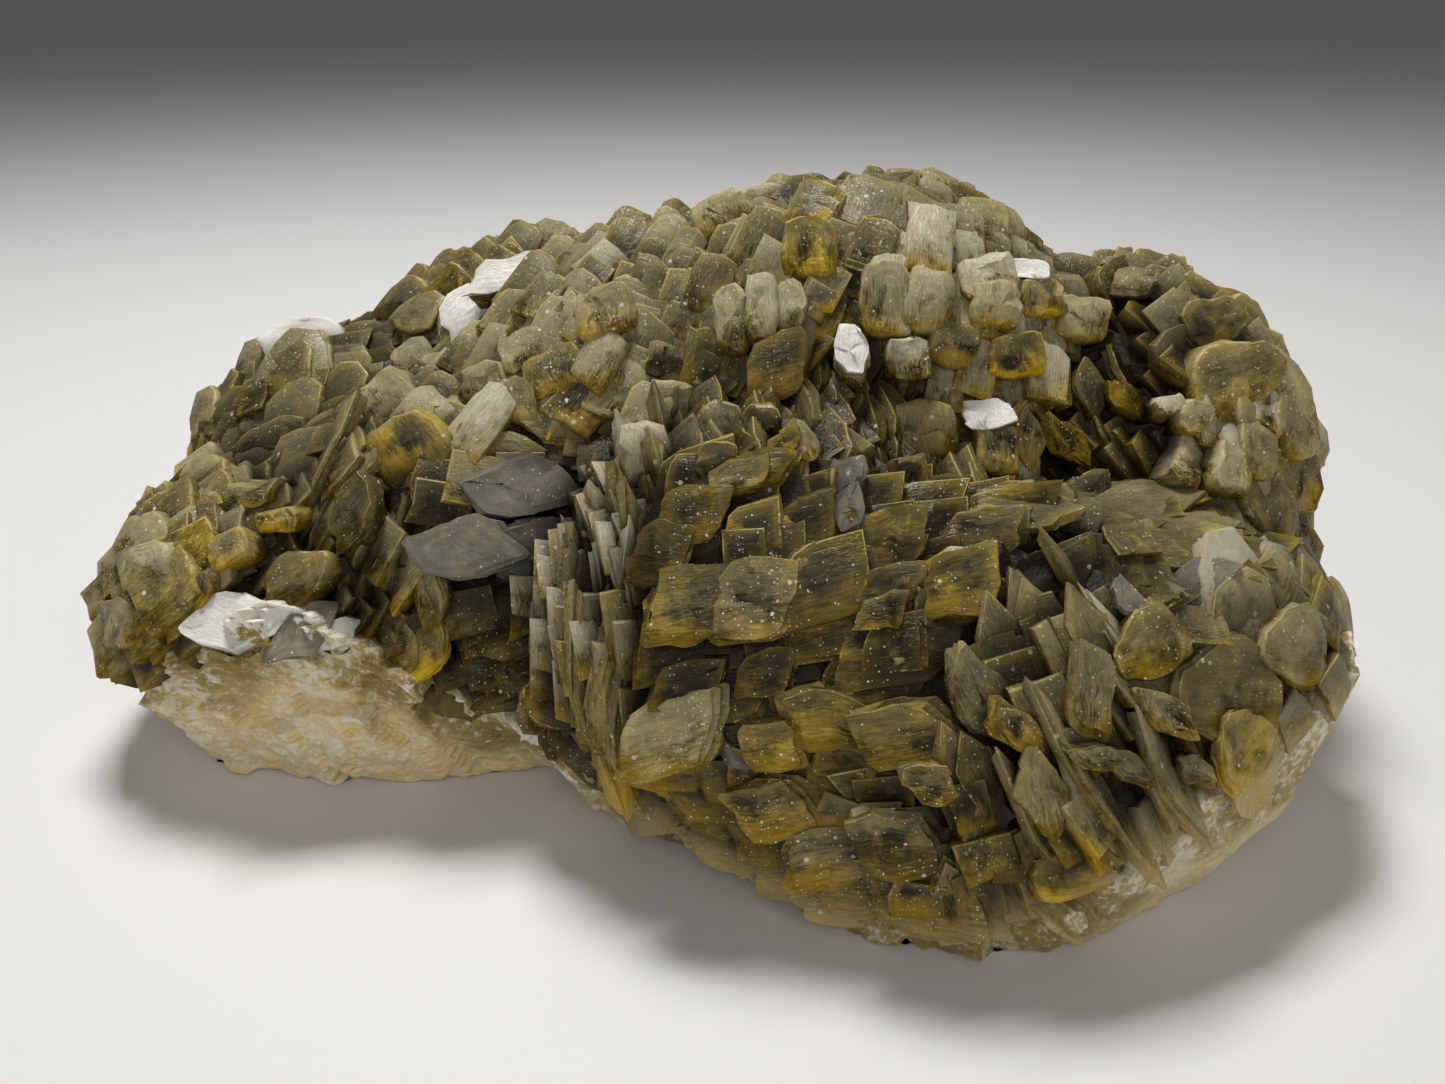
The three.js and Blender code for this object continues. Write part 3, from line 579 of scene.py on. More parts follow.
def growth_edge(points):
    """Height of the crystals' lower edge at each point."""
    front = np.interp(points[:, 0], *zip(*FRONT_EDGE))
    back = np.interp(points[:, 0], *zip(*BACK_EDGE))
    low, high = FRONT_TO_BACK
    share = ramp(points[:, 1], low, high - low)
    return front * (1 - share) + back * share


def growth_box():
    """Lowest and highest corners of the solid's box in the growth frame."""
    return [np.array(corner) / MM - TO_FRAME for corner in cad_box]


# ---- Where the crystals stand -------------------------------------------------------------------


def chance(numbers, use):
    """One number from -1 to 1 for each site's lattice numbers, and another for each use."""
    i, j, k = numbers
    mask = np.int64(WORD)
    first, second, third, fourth = HASH_PRIMES
    mixed = (i * first & mask) ^ (j * second & mask) ^ (k * third & mask)
    mixed ^= (use + 1) * fourth & WORD
    mixed = (mixed ^ (mixed >> 13)) & mask
    mixed = (mixed * HASH_MIXERS[0]) & mask
    mixed = (mixed ^ (mixed >> 15)) & mask
    mixed = (mixed * HASH_MIXERS[1]) & mask
    return (mixed ^ (mixed >> 16)) / 2.0**31 - 1


def plate_axes(faces, roll):
    """Length, width and facing axes of a plate, as rows."""
    azimuth, elevation = np.radians(faces)
    turn = np.radians(roll)
    out = np.cos(elevation)
    face = np.array([np.sin(azimuth) * out, -np.cos(azimuth) * out, np.sin(elevation)])
    level = np.array([np.cos(azimuth), np.sin(azimuth), 0.0])
    long = np.cos(turn) * level + np.sin(turn) * np.cross(face, level)
    return np.array([long, np.cross(face, long), face])


def seat(places, axes, sizes, proud):
    """Centres that let plates stand out of the root by the height asked."""
    normal = root_normal(places)
    spans = np.abs(np.einsum("nij,nj->ni", axes, normal)) * sizes * SPAN_SHARES
    depth = proud - spans.sum(axis=1)
    return places + normal * (depth - root_distance(places))[:, None]


def covered(sites, large):
    """How far each site lies under a large crystal, from 0 beside it to 1 under its middle."""
    x, y, z = ((sites - np.array(large.at, float)) @ large.axes().T).T
    length, width, thickness = large.size
    flat = (x / (length / 2)) ** 2 + (y / (width / 2)) ** 2
    share = min(length / BURIES_ALL, 1) * np.clip((BURIES_TO - flat) / BURIES_FADE, 0, 1)
    return share * (np.abs(z) < thickness / 2 + BURIES_DEEP)


def skin_sites(axes, pitch, at, reach, first):
    """Lattice numbers, places and root normals of the sites that lie in the root's skin."""
    steps = np.ceil(reach / pitch).astype(int)
    spans = [np.arange(-count, count + 1, dtype=np.int64) for count in steps]
    numbers = np.stack([grid.ravel() for grid in np.meshgrid(*spans, indexing="ij")])
    lattice = numbers.astype(float)
    lattice[0] += 0.5 * (numbers[1] & 1)
    lattice += np.array([chance(numbers, first + axis) for axis in range(3)]) * SITE_SPREAD
    sites = np.array(at, float) + np.column_stack(lattice * pitch[:, None]) @ axes
    distance = np.abs(root_distance(sites))
    keep = (distance < pitch.max()) & (sites[:, 2] > growth_edge(sites))
    numbers, sites, distance = numbers[:, keep], sites[keep], distance[keep]
    normal = root_normal(sites)
    skin = (pitch / np.maximum(np.abs(normal @ axes.T), TINY)).min(axis=1)
    keep = distance < skin / 2
    return numbers[:, keep], sites[keep], normal[keep]


def nearest_family(sites):
    """The number of the family whose middle is nearest to each site."""
    middles = np.array([family.at for family in FAMILIES], float)
    return np.linalg.norm(sites[:, None] - middles[None], axis=2).argmin(axis=1)


def set_crystals(numbers, sites, normal, axes, size, first, proud):
    """Centres, axes, sizes and two random numbers of crystals on the sites given."""
    hidden = np.zeros(len(sites))
    for large in LARGE_CRYSTALS:
        hidden = np.maximum(hidden, covered(sites, large))
    spread = np.column_stack([chance(numbers, first + use) for use in (3, 4, 5)])
    spread += chance(numbers, first + 11)[:, None]
    sizes = size * (1 + spread * SIZE_SPREAD)
    turns = [TURN_SPREAD * chance(numbers, first + use)[:, None] for use in (6, 7, 12)]
    face = axes[:, 2] + FACES_OUT * normal + turns[0] * axes[:, 0] + turns[1] * axes[:, 1]
    face = unit(face)
    wide = unit(np.cross(face, axes[:, 0] + turns[2] * axes[:, 1]))
    own = np.stack((np.cross(wide, face), wide, face), axis=1)
    half_heights = (np.abs(own[:, :, 2]) * sizes).sum(axis=1) / 2
    hanging = growth_edge(sites) - HANGING - (sites[:, 2] - half_heights)
    sites = sites + np.outer(np.maximum(hanging, 0), (0, 0, 1))
    stands = proud - BURIED * hidden + chance(numbers, first + 8) * SEAT_SPREAD * size[2]
    centres = inside_box(seat(sites, own, sizes, stands), own, sizes)
    return centres, own, sizes, chance(numbers, first + 9), chance(numbers, first + 10)


def family_crystals(number, generation, proud):
    """The crystals of one family, on the part of the root that is nearest to its middle."""
    family = FAMILIES[number]
    scale, lower = GENERATIONS[generation]
    first = USES * generation
    axes = family.axes()
    size = np.array(family.size, float) * scale
    numbers, sites, normal = skin_sites(axes, size * PITCH, family.at, FAMILY_REACH, first)
    own = nearest_family(sites) == number
    numbers, sites, normal = numbers[:, own], sites[own], normal[own]
    every = np.repeat(axes[None], len(sites), axis=0)
    return set_crystals(numbers, sites, normal, every, size, first, proud - lower)


def filling_crystals(proud):
    """Chips all over the root, to fill the gaps, and the number of each one's family."""
    first = FILLING_CHANCES
    pitch = np.full(3, FILLING_PITCH)
    numbers, sites, normal = skin_sites(np.eye(3), pitch, HEART, ROOT_REACH, first)
    families = nearest_family(sites)
    every = np.array([family.axes() for family in FAMILIES])[families]
    every[:, 2] += FILLING_LIFT * normal
    size = np.array(FILLING_SIZE)
    made = set_crystals(numbers, sites, normal, every, size, first, proud - FILLING_LOWER)
    return made, families


def varied_look(look, first, second):
    """A crystal's own darkness, frost and amber, round those of its family."""
    dark, frost, amber = look
    glow = EXTRA_GLOW if first > GLOWS_ABOVE and amber >= 0 else 0.0
    return (
        min(max(dark + DARK_SPREAD * second, 0), 1),
        min(frost * (1 + FROST_SPREAD * first), 1),
        min(amber * (1 + AMBER_SPREAD * second) + glow, 1),
    )


def inside_box(centres, axes, sizes):
    """Moves crystals that would reach out of the solid's box or under its foot back inside."""
    low, high = growth_box()
    reach = np.einsum("nij,ni->nj", np.abs(axes), sizes * 0.5)
    return np.clip(centres, low + reach + BOX_MARGIN, high - reach - BOX_MARGIN)


# ---- Meshes -------------------------------------------------------------------------------------


def new_object(name, mesh):
    """Puts an object with this mesh, lamp or camera into the scene."""
    made = bpy.data.objects.new(name, mesh)
    bpy.context.scene.collection.objects.link(made)
    return made


def settle(piece):
    """Says that a finished piece rides on the root body and stands for the solid."""
    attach(piece, "root")
    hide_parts(NODE)


def add_attribute(mesh, name, kind, values):
    """Writes a value or a vector on each point of a mesh."""
    layer = mesh.attributes.new(name, kind, "POINT")
    layer.data.foreach_set("vector" if kind == "FLOAT_VECTOR" else "value", np.ravel(values))


def plate_outline(kind, rng, large):
    """Points round a plate: three or one at a corner and some on the sides, or a circle's."""
    if kind in ROUND:
        count = ROUND_POINTS[large]
        angles = np.linspace(0, 2 * np.pi, count, endpoint=False)
        three, two = ROUND_BULGES
        reach = 1 + rng.uniform(-ROUND_UNEVEN, ROUND_UNEVEN, count)
        reach += three * np.cos(3 * angles + rng.uniform(0, 6)) - two * np.cos(2 * angles + 1)
        return np.column_stack((np.cos(angles), np.sin(angles))) * reach[:, None]
    corners = np.array(OUTLINES[kind], float)
    corners[:, :2] += rng.uniform(-CORNER_SPREAD, CORNER_SPREAD, (4, 2))
    points = []
    for n in range(4):
        at, rounding = corners[n, :2], corners[n, 2] * rng.uniform(*ROUNDING_SPREAD)
        after = corners[(n + 1) % 4, :2]
        if corners[n, 2] > ROUNDED or large:
            start = at + (corners[n - 1, :2] - at) * rounding
            end = at + (after - at) * rounding
            points += [start, (start + end + 2 * at) / 4, end]
        else:
            points.append(at)
        for share in (0.4, 0.6) if large else (0.5,) * (n % 2):
            points.append((at * (1 - share) + after * share) * rng.uniform(*SIDE_SPREAD))
    points = np.array(points)
    return points + rng.uniform(-POINT_SPREAD, POINT_SPREAD, points.shape)


def crystal_rings(kind, large, rng):
    """Each ring from the foot up: its share of the outline, height, growth layer and nearness
    to the rim."""
    levels = [-1.0, rng.uniform(*STEP_AT), PLATE_TOP]
    if large:
        levels = [-1.0, *(rng.uniform(*span) for span in LARGE_STEPS_AT), PLATE_TOP]
    if kind == "chip":
        levels = [-1.0, CHIP_TOP]
    if kind in PILLOWS:
        rings = PILLOW_RINGS if large else PILLOW_RINGS[:PLAIN_PILLOW_RINGS]
        return [(share, height, 0, rim) for share, height, rim in rings]
    rings = [(PLATE_FOOT, -1.0, 0, 1.0)]
    last = len(levels) - 2
    for layer in range(last + 1):
        scale = 1 - LAYER_SHRINKS * layer
        if layer:
            rings.append((scale, levels[layer] + LAYER_GAP, layer, 1.0))
        rings.append((scale, levels[layer + 1] - LAYER_BEVEL, layer, 1.0))
    tops = PLATE_TOP_RINGS if large else PLATE_TOP_RINGS[:1]
    return rings + [(share, height, last, rim) for share, height, rim in tops]


def crystal_template(kind, variant):
    """One crystal of unit half size: a swollen one, a plate with growth steps, or a plain chip."""
    rng = np.random.default_rng(100 * KINDS.index(kind) + variant)
    large = variant >= VARIANTS
    outline = plate_outline(kind, rng, large)
    count = len(outline)
    bend = rng.uniform(-BEND, BEND) * (ROUND_BEND if kind in ROUND else PLATE_BEND)
    twist = rng.uniform(-TWIST, TWIST)
    heading = rng.uniform(-STEP_HEADING, STEP_HEADING) + (variant % 2) * np.pi
    drift = rng.uniform(*STEP_DRIFT) * np.array([np.cos(heading), np.sin(heading)])
    shell = bmesh.new()
    rim_layer = shell.verts.layers.float.new("rim")
    grain_layer = shell.verts.layers.float_vector.new("grain")

    def corner(x, y, z, rim):
        made = shell.verts.new((x, y, z + bend * (x * x - BEND_MIDDLE) + twist * x * y))
        made[rim_layer] = rim
        made[grain_layer] = (x, y, z)
        return made

    loops = [
        [corner(*(point * scale + drift * layer), height, rim) for point in outline]
        for scale, height, layer, rim in crystal_rings(kind, large, rng)
    ]
    after = [(n + 1) % count for n in range(count)]
    for lower, upper in zip(loops, loops[1:]):
        for n, m in enumerate(after):
            shell.faces.new((lower[n], lower[m], upper[m], upper[n]))
    shell.faces.new(loops[0][::-1])
    top = corner(*(drift * 2), PEAK, 0.0)
    for n, m in enumerate(after):
        shell.faces.new((loops[-1][n], loops[-1][m], top))
    mesh = bpy.data.meshes.new(f"{shape_number(kind, variant):03d}_{kind}")
    shell.to_mesh(mesh)
    shell.free()
    mesh.shade_smooth()
    sharp = PILLOW_SHARP if kind in PILLOWS else PLATE_SHARP
    mesh.set_sharp_from_angle(angle=np.radians(sharp))
    return mesh


def shape_number(kind, variant):
    """The place of a shape among all the shapes."""
    return KINDS.index(kind) * (VARIANTS + LARGE_VARIANTS) + variant


def crystal_templates():
    """A collection of all the shapes, named so that they sort by number."""
    shapes = bpy.data.collections.new("crystal shapes")
    for kind in KINDS:
        for variant in range(VARIANTS + LARGE_VARIANTS):
            mesh = crystal_template(kind, variant)
            shapes.objects.link(bpy.data.objects.new(mesh.name, mesh))
    return shapes


# ---- Nodes --------------------------------------------------------------------------------------


class Nodes:
    """Short names for adding the nodes of one tree."""

    def __init__(self, tree):
        self.tree = tree

    def add(self, kind, inputs=None, **settings):
        """A node with its settings, and the inputs given by name or number."""
        made = self.tree.nodes.new(kind)
        for key, value in settings.items():
            setattr(made, key, value)
        for key, value in (inputs or {}).items():
            self.plug(made.inputs[key], value)
        return made

    def plug(self, socket, value):
        """Links an output into a socket, or sets the socket to a plain value."""
        if isinstance(value, bpy.types.NodeSocket):
            self.tree.links.new(value, socket)
        else:
            socket.default_value = value

    def maths(self, operation, *values, clamp=False):
        inputs = dict(enumerate(values))
        return self.add("ShaderNodeMath", inputs, operation=operation, use_clamp=clamp).outputs[0]

    def times(self, first, second, clamp=False):
        return self.maths("MULTIPLY", first, second, clamp=clamp)

    def plus(self, first, second):
        return self.maths("ADD", first, second)

    def less(self, first, second):
        return self.maths("SUBTRACT", first, second)

    def total(self, *terms):
        """Sum of values, each times its own weight."""
        summed = 0.0
        for value, weight in terms:
            summed = self.maths("MULTIPLY_ADD", value, weight, summed)
        return summed

    def vectors(self, operation, first, second=None, scale=None):
        inputs = {0: first, "Scale": scale} if second is None else {0: first, 1: second}
        made = self.add("ShaderNodeVectorMath", inputs, operation=operation)
        return made.outputs["Value" if operation == "DOT_PRODUCT" else "Vector"]

    def blend(self, share, first, second, mode="MIX"):
        inputs = {"Factor": share, "A": first, "B": second}
        made = self.add("ShaderNodeMix", inputs, data_type="RGBA", blend_type=mode)
        return made.outputs["Result"]

    def blend_value(self, share, first, second):
        inputs = {0: share, 2: first, 3: second}
        return self.add("ShaderNodeMix", inputs, data_type="FLOAT").outputs[0]

    def step(self, value, span):
        """0 where the span of that name starts, 1 where it ends, soft between."""
        low, high = SPANS[span]
        inputs = {"Value": value, "From Min": low, "From Max": high}
        made = self.add("ShaderNodeMapRange", inputs, interpolation_type="SMOOTHSTEP")
        return made.outputs["Result"]

    def clouds(self, vector, scale, detail=3.0, roughness=0.55):
        inputs = {"Vector": vector, "Scale": scale, "Detail": detail, "Roughness": roughness}
        return self.add("ShaderNodeTexNoise", inputs).outputs["Fac"]

    def attribute(self, name, output="Fac"):
        return self.add("ShaderNodeAttribute", attribute_name=name).outputs[output]

    def bump(self, height, strength, distance):
        inputs = {"Height": height, "Strength": strength, "Distance": distance}
        return self.add("ShaderNodeBump", inputs).outputs["Normal"]


def new_tree(name, kind, inputs, outputs):
    """A tree with the sockets named, each with its kind, and short names for adding its nodes."""
    tree = bpy.data.node_groups.new(name, kind)
    for in_out, sockets in (("INPUT", inputs), ("OUTPUT", outputs)):
        for label, socket in sockets.items():
            tree.interface.new_socket(name=label, in_out=in_out, socket_type="NodeSocket" + socket)
    return tree, Nodes(tree)


def instancing_tree():
    """Geometry Nodes: one of the shapes on every point, turned, sized and made uneven."""
    tree, n = new_tree("Crystals on points", "GeometryNodeTree", {
        "Geometry": "Geometry", "Shapes": "Collection", "Growth": "Float", "Unevenness": "Float",
        "Material": "Material",
    }, {"Geometry": "Geometry"})
    start = n.add("NodeGroupInput").outputs
    shapes = n.add("GeometryNodeCollectionInfo", {
        "Collection": start["Shapes"], "Separate Children": True, "Reset Children": True,
    })
    attributes = [
        n.add("GeometryNodeInputNamedAttribute", {"Name": name}, data_type=kind)
        for name, kind in (("turn", "QUATERNION"), ("size", "FLOAT_VECTOR"), ("shape", "INT"))
    ]
    turn, size, shape = (read.outputs["Attribute"] for read in attributes)
    stand = n.add("GeometryNodeInstanceOnPoints", {
        "Points": start["Geometry"],
        "Instance": shapes.outputs["Instances"],
        "Pick Instance": True,
        "Instance Index": shape,
        "Rotation": turn,
        "Scale": n.vectors("SCALE", size, scale=start["Growth"]),
    })
    realize = n.add("GeometryNodeRealizeInstances", {"Geometry": stand.outputs["Instances"]})
    ripple = n.add("ShaderNodeTexNoise", {"Scale": RIPPLES, "Detail": 1.0})
    chips = n.add("ShaderNodeTexVoronoi", {"Scale": CHIPS})
    both = n.vectors("ADD", ripple.outputs["Color"], chips.outputs["Color"])
    level = n.vectors("SUBTRACT", both, (1.0, 1.0, 1.0))
    chipped = n.add("GeometryNodeSetPosition", {
        "Geometry": realize.outputs["Geometry"],
        "Offset": n.vectors("SCALE", level, scale=start["Unevenness"]),
    })
    paint = n.add("GeometryNodeSetMaterial", {
        "Geometry": chipped.outputs["Geometry"], "Material": start["Material"],
    })
    n.add("NodeGroupOutput", {"Geometry": paint.outputs["Geometry"]})
    return tree


def set_input(modifier, name, value):
    """Sets a modifier's input by the identifier of its socket."""
    for item in modifier.node_group.interface.items_tree:
        if item.item_type == "SOCKET" and item.in_out == "INPUT" and item.name == name:
            modifier[item.identifier] = value
            return
    raise RuntimeError(f"the tree has no input called {name}")


def grown_piece(name, crystals, shapes, scale, material):
    """One mesh of all the crystals given, through the instancing tree."""
    crystals = Crystal(*(np.array(values) for values in zip(*crystals)))
    points = bpy.data.meshes.new(name + " points")
    points.from_pydata(((crystals.centre + TO_FRAME) * MM).tolist(), [], [])
    turns = [Matrix(axes.T.tolist()).to_quaternion() for axes in crystals.axes]
    for key, kind, values in (
        ("turn", "QUATERNION", turns),
        ("size", "FLOAT_VECTOR", crystals.size * MM / 2),
        ("look", "FLOAT_VECTOR", crystals.look),
        ("tint", "FLOAT", crystals.tint),
        ("up", "FLOAT_VECTOR", crystals.axes[:, :, 2]),
        ("shape", "INT", crystals.shape),
        ("calm", "FLOAT", crystals.calm),
    ):
        add_attribute(points, key, kind, values)
    carrier = new_object(name + " points", points)
    modifier = carrier.modifiers.new("grow", "NODES")
    modifier.node_group = bpy.data.node_groups.get("Crystals on points") or instancing_tree()
    set_input(modifier, "Shapes", shapes)
    set_input(modifier, "Growth", scale)
    set_input(modifier, "Unevenness", UNEVEN * MM)
    set_input(modifier, "Material", material)
    graph = bpy.context.evaluated_depsgraph_get()
    mesh = bpy.data.meshes.new_from_object(
        carrier.evaluated_get(graph), preserve_all_data_layers=True, depsgraph=graph
    )
    bpy.data.objects.remove(carrier)
    bpy.data.meshes.remove(points)
    mesh.name = name
    corners = np.empty(len(mesh.vertices) * 3)
    mesh.vertices.foreach_get("co", corners)
    low, high = (np.array(corner) for corner in cad_box)
    corners = np.clip(corners.reshape(-1, 3), low, high)
    mesh.vertices.foreach_set("co", corners.ravel())
    mesh.set_sharp_from_angle(angle=np.radians(UNEVEN_SHARP))
    places = corners / MM - TO_FRAME
    paling = ramp(growth_edge(places) + PALE_ABOVE, places[:, 2], PALE_DEPTH)
    paling *= ramp(places[:, 0], PALE_FROM, PALE_FADE)
    add_attribute(mesh, "height", "FLOAT", root_distance(places))
    add_attribute(mesh, "paling", "FLOAT", paling)
    settle(new_object(name, mesh))


def fractal(places, size, detail=3):
    """Soft noise from about -1 to 1 at each place, with features of the size given in mm."""
    return np.array([noise.fractal(Vector(p / size), 1.0, 2.0, detail) for p in places])


def facets(places, size, tilt):
    """Heights of flat broken facets of the size given in mm, each tilted its own way."""
    heights = np.empty(len(places))
    for n, place in enumerate(places):
        middle = noise.voronoi(Vector(place / size))[1][0]
        lean = noise.cell_vector(middle * FACET_LEANS)
        away = place - np.array(middle) * size
        heights[n] = tilt * float(away @ np.array(lean)) + FACET_HEIGHT * size * lean[0]
    return heights


def root_places(directions):
    """Points of the root's smooth surface along each direction from its heart."""
    travel = np.full(len(directions), ROOT_REACH.max())
    for _ in range(DRAWING_STEPS):
        travel -= root_distance(HEART + directions * travel[:, None]) * STEP_SHARE
    return HEART + directions * travel[:, None]


def vertices_of(shell):
    return np.array([vertex.co[:] for vertex in shell.verts])


def root_shell(detail):
    """The root's mesh before it is shaped, finer where it is broken, and the smooth surface's
    places for its points."""
    shell = bmesh.new()
    bmesh.ops.create_icosphere(shell, subdivisions=detail, radius=1)
    places = root_places(unit(vertices_of(shell) * ROOT_REACH))
    bare = places[:, 2] < growth_edge(places) + BARE_ABOVE
    bare &= places[:, 2] > BARE_FROM
    shell.verts.ensure_lookup_table()
    edges = [edge for edge in shell.edges if all(bare[end.index] for end in edge.verts)]
    bmesh.ops.subdivide_edges(shell, edges=edges, cuts=1, use_grid_fill=True)
    bmesh.ops.triangulate(shell, faces=shell.faces)
    shell.verts.index_update()
    places = root_places(unit(vertices_of(shell) * ROOT_REACH))
    mesh = bpy.data.meshes.new("broken_root")
    shell.to_mesh(mesh)
    shell.free()
    return mesh, places


def ledge_shares(places):
    """How wide the ledge is at each place, on the left and on the right, from 0 to 1."""
    x, y, z = places.T
    start, end = LEDGE_SPAN
    left_back, right_back = LEDGE_BACK
    left = np.maximum(np.exp(-(((x - LEDGE_MIDDLE) / LEDGE_WIDTH) ** 2)), LEDGE_THIN)
    left *= ramp(x, start, LEDGE_ENDS) * ramp(end, x, LEDGE_ENDS)
    left *= ramp(left_back, y, LEDGE_FADE)
    right = ramp(x, LEDGE_RIGHT, LEDGE_FADE) * ramp(right_back, y, LEDGE_FADE)
    return left, right


def root_mesh(detail):
    """The massive root: its smooth lobes, broken in facets and a ledge below the growth edge."""
    mesh, places = root_shell(detail)
    normal = root_normal(places)
    ragged = fractal(places, RAGGED_SIZE)
    below = growth_edge(places) + RAGGED_HEIGHT * ragged - places[:, 2]
    broken = ramp(below, -BREAK_SOFT, 2 * BREAK_SOFT)
    rim = np.clip(1 - below / LEDGE_DEPTH, 0, 1) * broken
    left, right = ledge_shares(places)
    # The break is roughest along the ledge on the left, and smoothest on the right.
    rough = np.clip(rim + ROUGH_LEAST, 0, 1) * (1 - RIGHT_SMOOTHER * right)
    rough += ROUGH_LEDGE * left
    relief = facets(places, *BROKEN_FACETS) * (FACETS_LEAST + (1 - FACETS_LEAST) * rough)
    relief *= 1 - RIGHT_FLATTER * right
    relief += facets(places + CHIPS_AWAY, *CHIPPED_FACETS) * rough
    relief += CRUMB_HEIGHT * fractal(places, CRUMB_SIZE)
    relief += rim * LEDGE_OUT * (left + LEDGE_FAINT * right)
    between = facets(places, *GROWN_FACETS) - GROWN_LOWER
    shift = broken * relief + (1 - broken) * between
    places = places + normal * shift[:, None]
    under = ramp(FOOT_BELOW, places[:, 2], FOOT_BELOW)
    places[:, 2] = np.maximum(places[:, 2], 0.0)
    places[:, 2] += under * np.clip(fractal(places, FOOT_WAVES), 0, 1) * FOOT_RISE
    places = np.clip(places, *growth_box())
    mesh.vertices.foreach_set("co", ((places + TO_FRAME) * MM).ravel())
    away = np.linalg.norm((places - CRUMBS_AT) / CRUMBS_REACH, axis=1)
    crumbs = np.clip(CRUMBS_EDGE - away, 0, 1)
    chalk = rim * np.clip(left + CHALK_RIGHT * right, 0, 1)
    chalk += CHALK_CRUMBS * crumbs + CHALK_RAGGED * ragged
    for name, values in (("broken", broken), ("chalk", chalk * broken), ("below", below)):
        add_attribute(mesh, name, "FLOAT", values)
    mesh.shade_smooth()
    mesh.set_sharp_from_angle(angle=np.radians(ROOT_SHARP))
    mesh.update()
    return mesh


# ---- Materials ----------------------------------------------------------------------------------

SIDERITE_IOR = 1.6
CRYSTAL_SPECULAR, ROOT_SPECULAR = 0.12, 0.25
CRYSTAL_BUMP = (0.6, 0.0006)  # strength, and height in metres
ROOT_BUMP = (0.7, 0.0009)
ROOT_ROUGHNESS = 0.45
GROWTH_STEPS = 4.5
CALMS = 0.8  # how much of the lines a calm crystal loses
FINE_DUST = (1500.0, 0.3)  # specks per metre, and cover
COARSE_DUST = (620.0, 0.07)
# Patterns in the object's own space, per metre.
SMUDGES, MOTTLES, GRIT = 75.0, 420.0, 1700.0
ROOT_CLOUDS, GRAINS, FLAKES = 55.0, 460.0, 1300.0
DUST_PATCHES = 45.0
# Multiples of a crystal's tint that give it other numbers of its own.
TINT_TO = {"pattern": 37.0, "steps": 53.0, "sort": 5.7, "depth": 11.3}
# Where each effect sets in and where it is full, on the value that drives it.
SPANS = {
    # Crystals.
    "grey": (-0.1, -0.6),
    "growth steps": (0.5, 0.56),
    "scratch": (0.006, 0.035),
    "scratched": (0.5, 0.9),
    "browner": (0.75, 1.25),
    "clear": (0.55, 0.98),
    "lit": (0.85, 1.12),
    "glow": (0.82, 1.25),
    "thin rim": (0.5, 0.97),
    "thin facing up": (-0.6, 0.6),
    "edge starts": (0.92, 0.95),
    "edge ends": (0.96, 1.0),
    "painted_rim_highlight": (1.0, 1.2),
    "frosted": (0.86, 1.12),
    "white facing up": (0.3, 0.9),
    "white with frost": (0.8, 1.45),
    "smooth": (0.3, 0.7),
    "side rim": (0.55, 0.95),
    "side facing down": (0.5, -0.5),
    "glint": (1.1, 1.4),
    "glint on the face": (0.6, 0.8),
    "glint veil": (0.66, 0.92),
    # Painted gap shade, fading out with height above the root.
    "out of the painted gap shade": (-0.2, 5.3),
    # Root.
    "pale cloud": (0.54, 0.88),
    "cream low down": (24.0, 40.0),
    "vein": (0.72, 0.86),
    "chalk": (1.0, 1.15),
    "pit": (0.5, 0.66),
    "core": (0.4, 0.75),
    # Dust.
    "thick dust": (0.4, 0.7),
}


def material_shell(name):
    """A material with its Principled shader: the material, its nodes and the shader's inputs."""
    material = bpy.data.materials.new(name)
    material.use_nodes = True
    material.node_tree.nodes.clear()
    n = Nodes(material.node_tree)
    shader = n.add("ShaderNodeBsdfPrincipled")
    n.add("ShaderNodeOutputMaterial", {"Surface": shader.outputs["BSDF"]})
    return material, n, shader.inputs


def dust_group():
    """Pale specks of dust, thick in some places and thin in others."""
    found = bpy.data.node_groups.get("Dust specks")
    if found:
        return found
    inputs = {"Vector": "Vector", "Per metre": "Float", "Cover": "Float"}
    tree, n = new_tree("Dust specks", "ShaderNodeTree", inputs, {"Mask": "Float"})
    start = n.add("NodeGroupInput").outputs
    place = start["Vector"]
    cells = n.add("ShaderNodeTexVoronoi", {"Vector": place, "Scale": start["Per metre"]}).outputs
    pick, size, shade = n.add("ShaderNodeSeparateColor", {0: cells["Color"]}).outputs
    near = n.maths("LESS_THAN", cells["Distance"], n.maths("MULTIPLY_ADD", size, 0.2, 0.1))
    thick = n.step(n.clouds(place, DUST_PATCHES), "thick dust")
    cover = n.times(start["Cover"], n.maths("MULTIPLY_ADD", thick, 1.6, 0.3))
    some = n.maths("LESS_THAN", pick, cover)
    fade = n.maths("MULTIPLY_ADD", shade, 0.6, 0.4)
    n.add("NodeGroupOutput", {"Mask": n.times(n.times(near, some), fade)})
    return tree


def dust(n, place, per_metre, cover):
    """Mask of the dust specks."""
    inputs = {"Vector": place, "Per metre": per_metre, "Cover": cover}
    return n.add("ShaderNodeGroup", inputs, node_tree=dust_group()).outputs["Mask"]


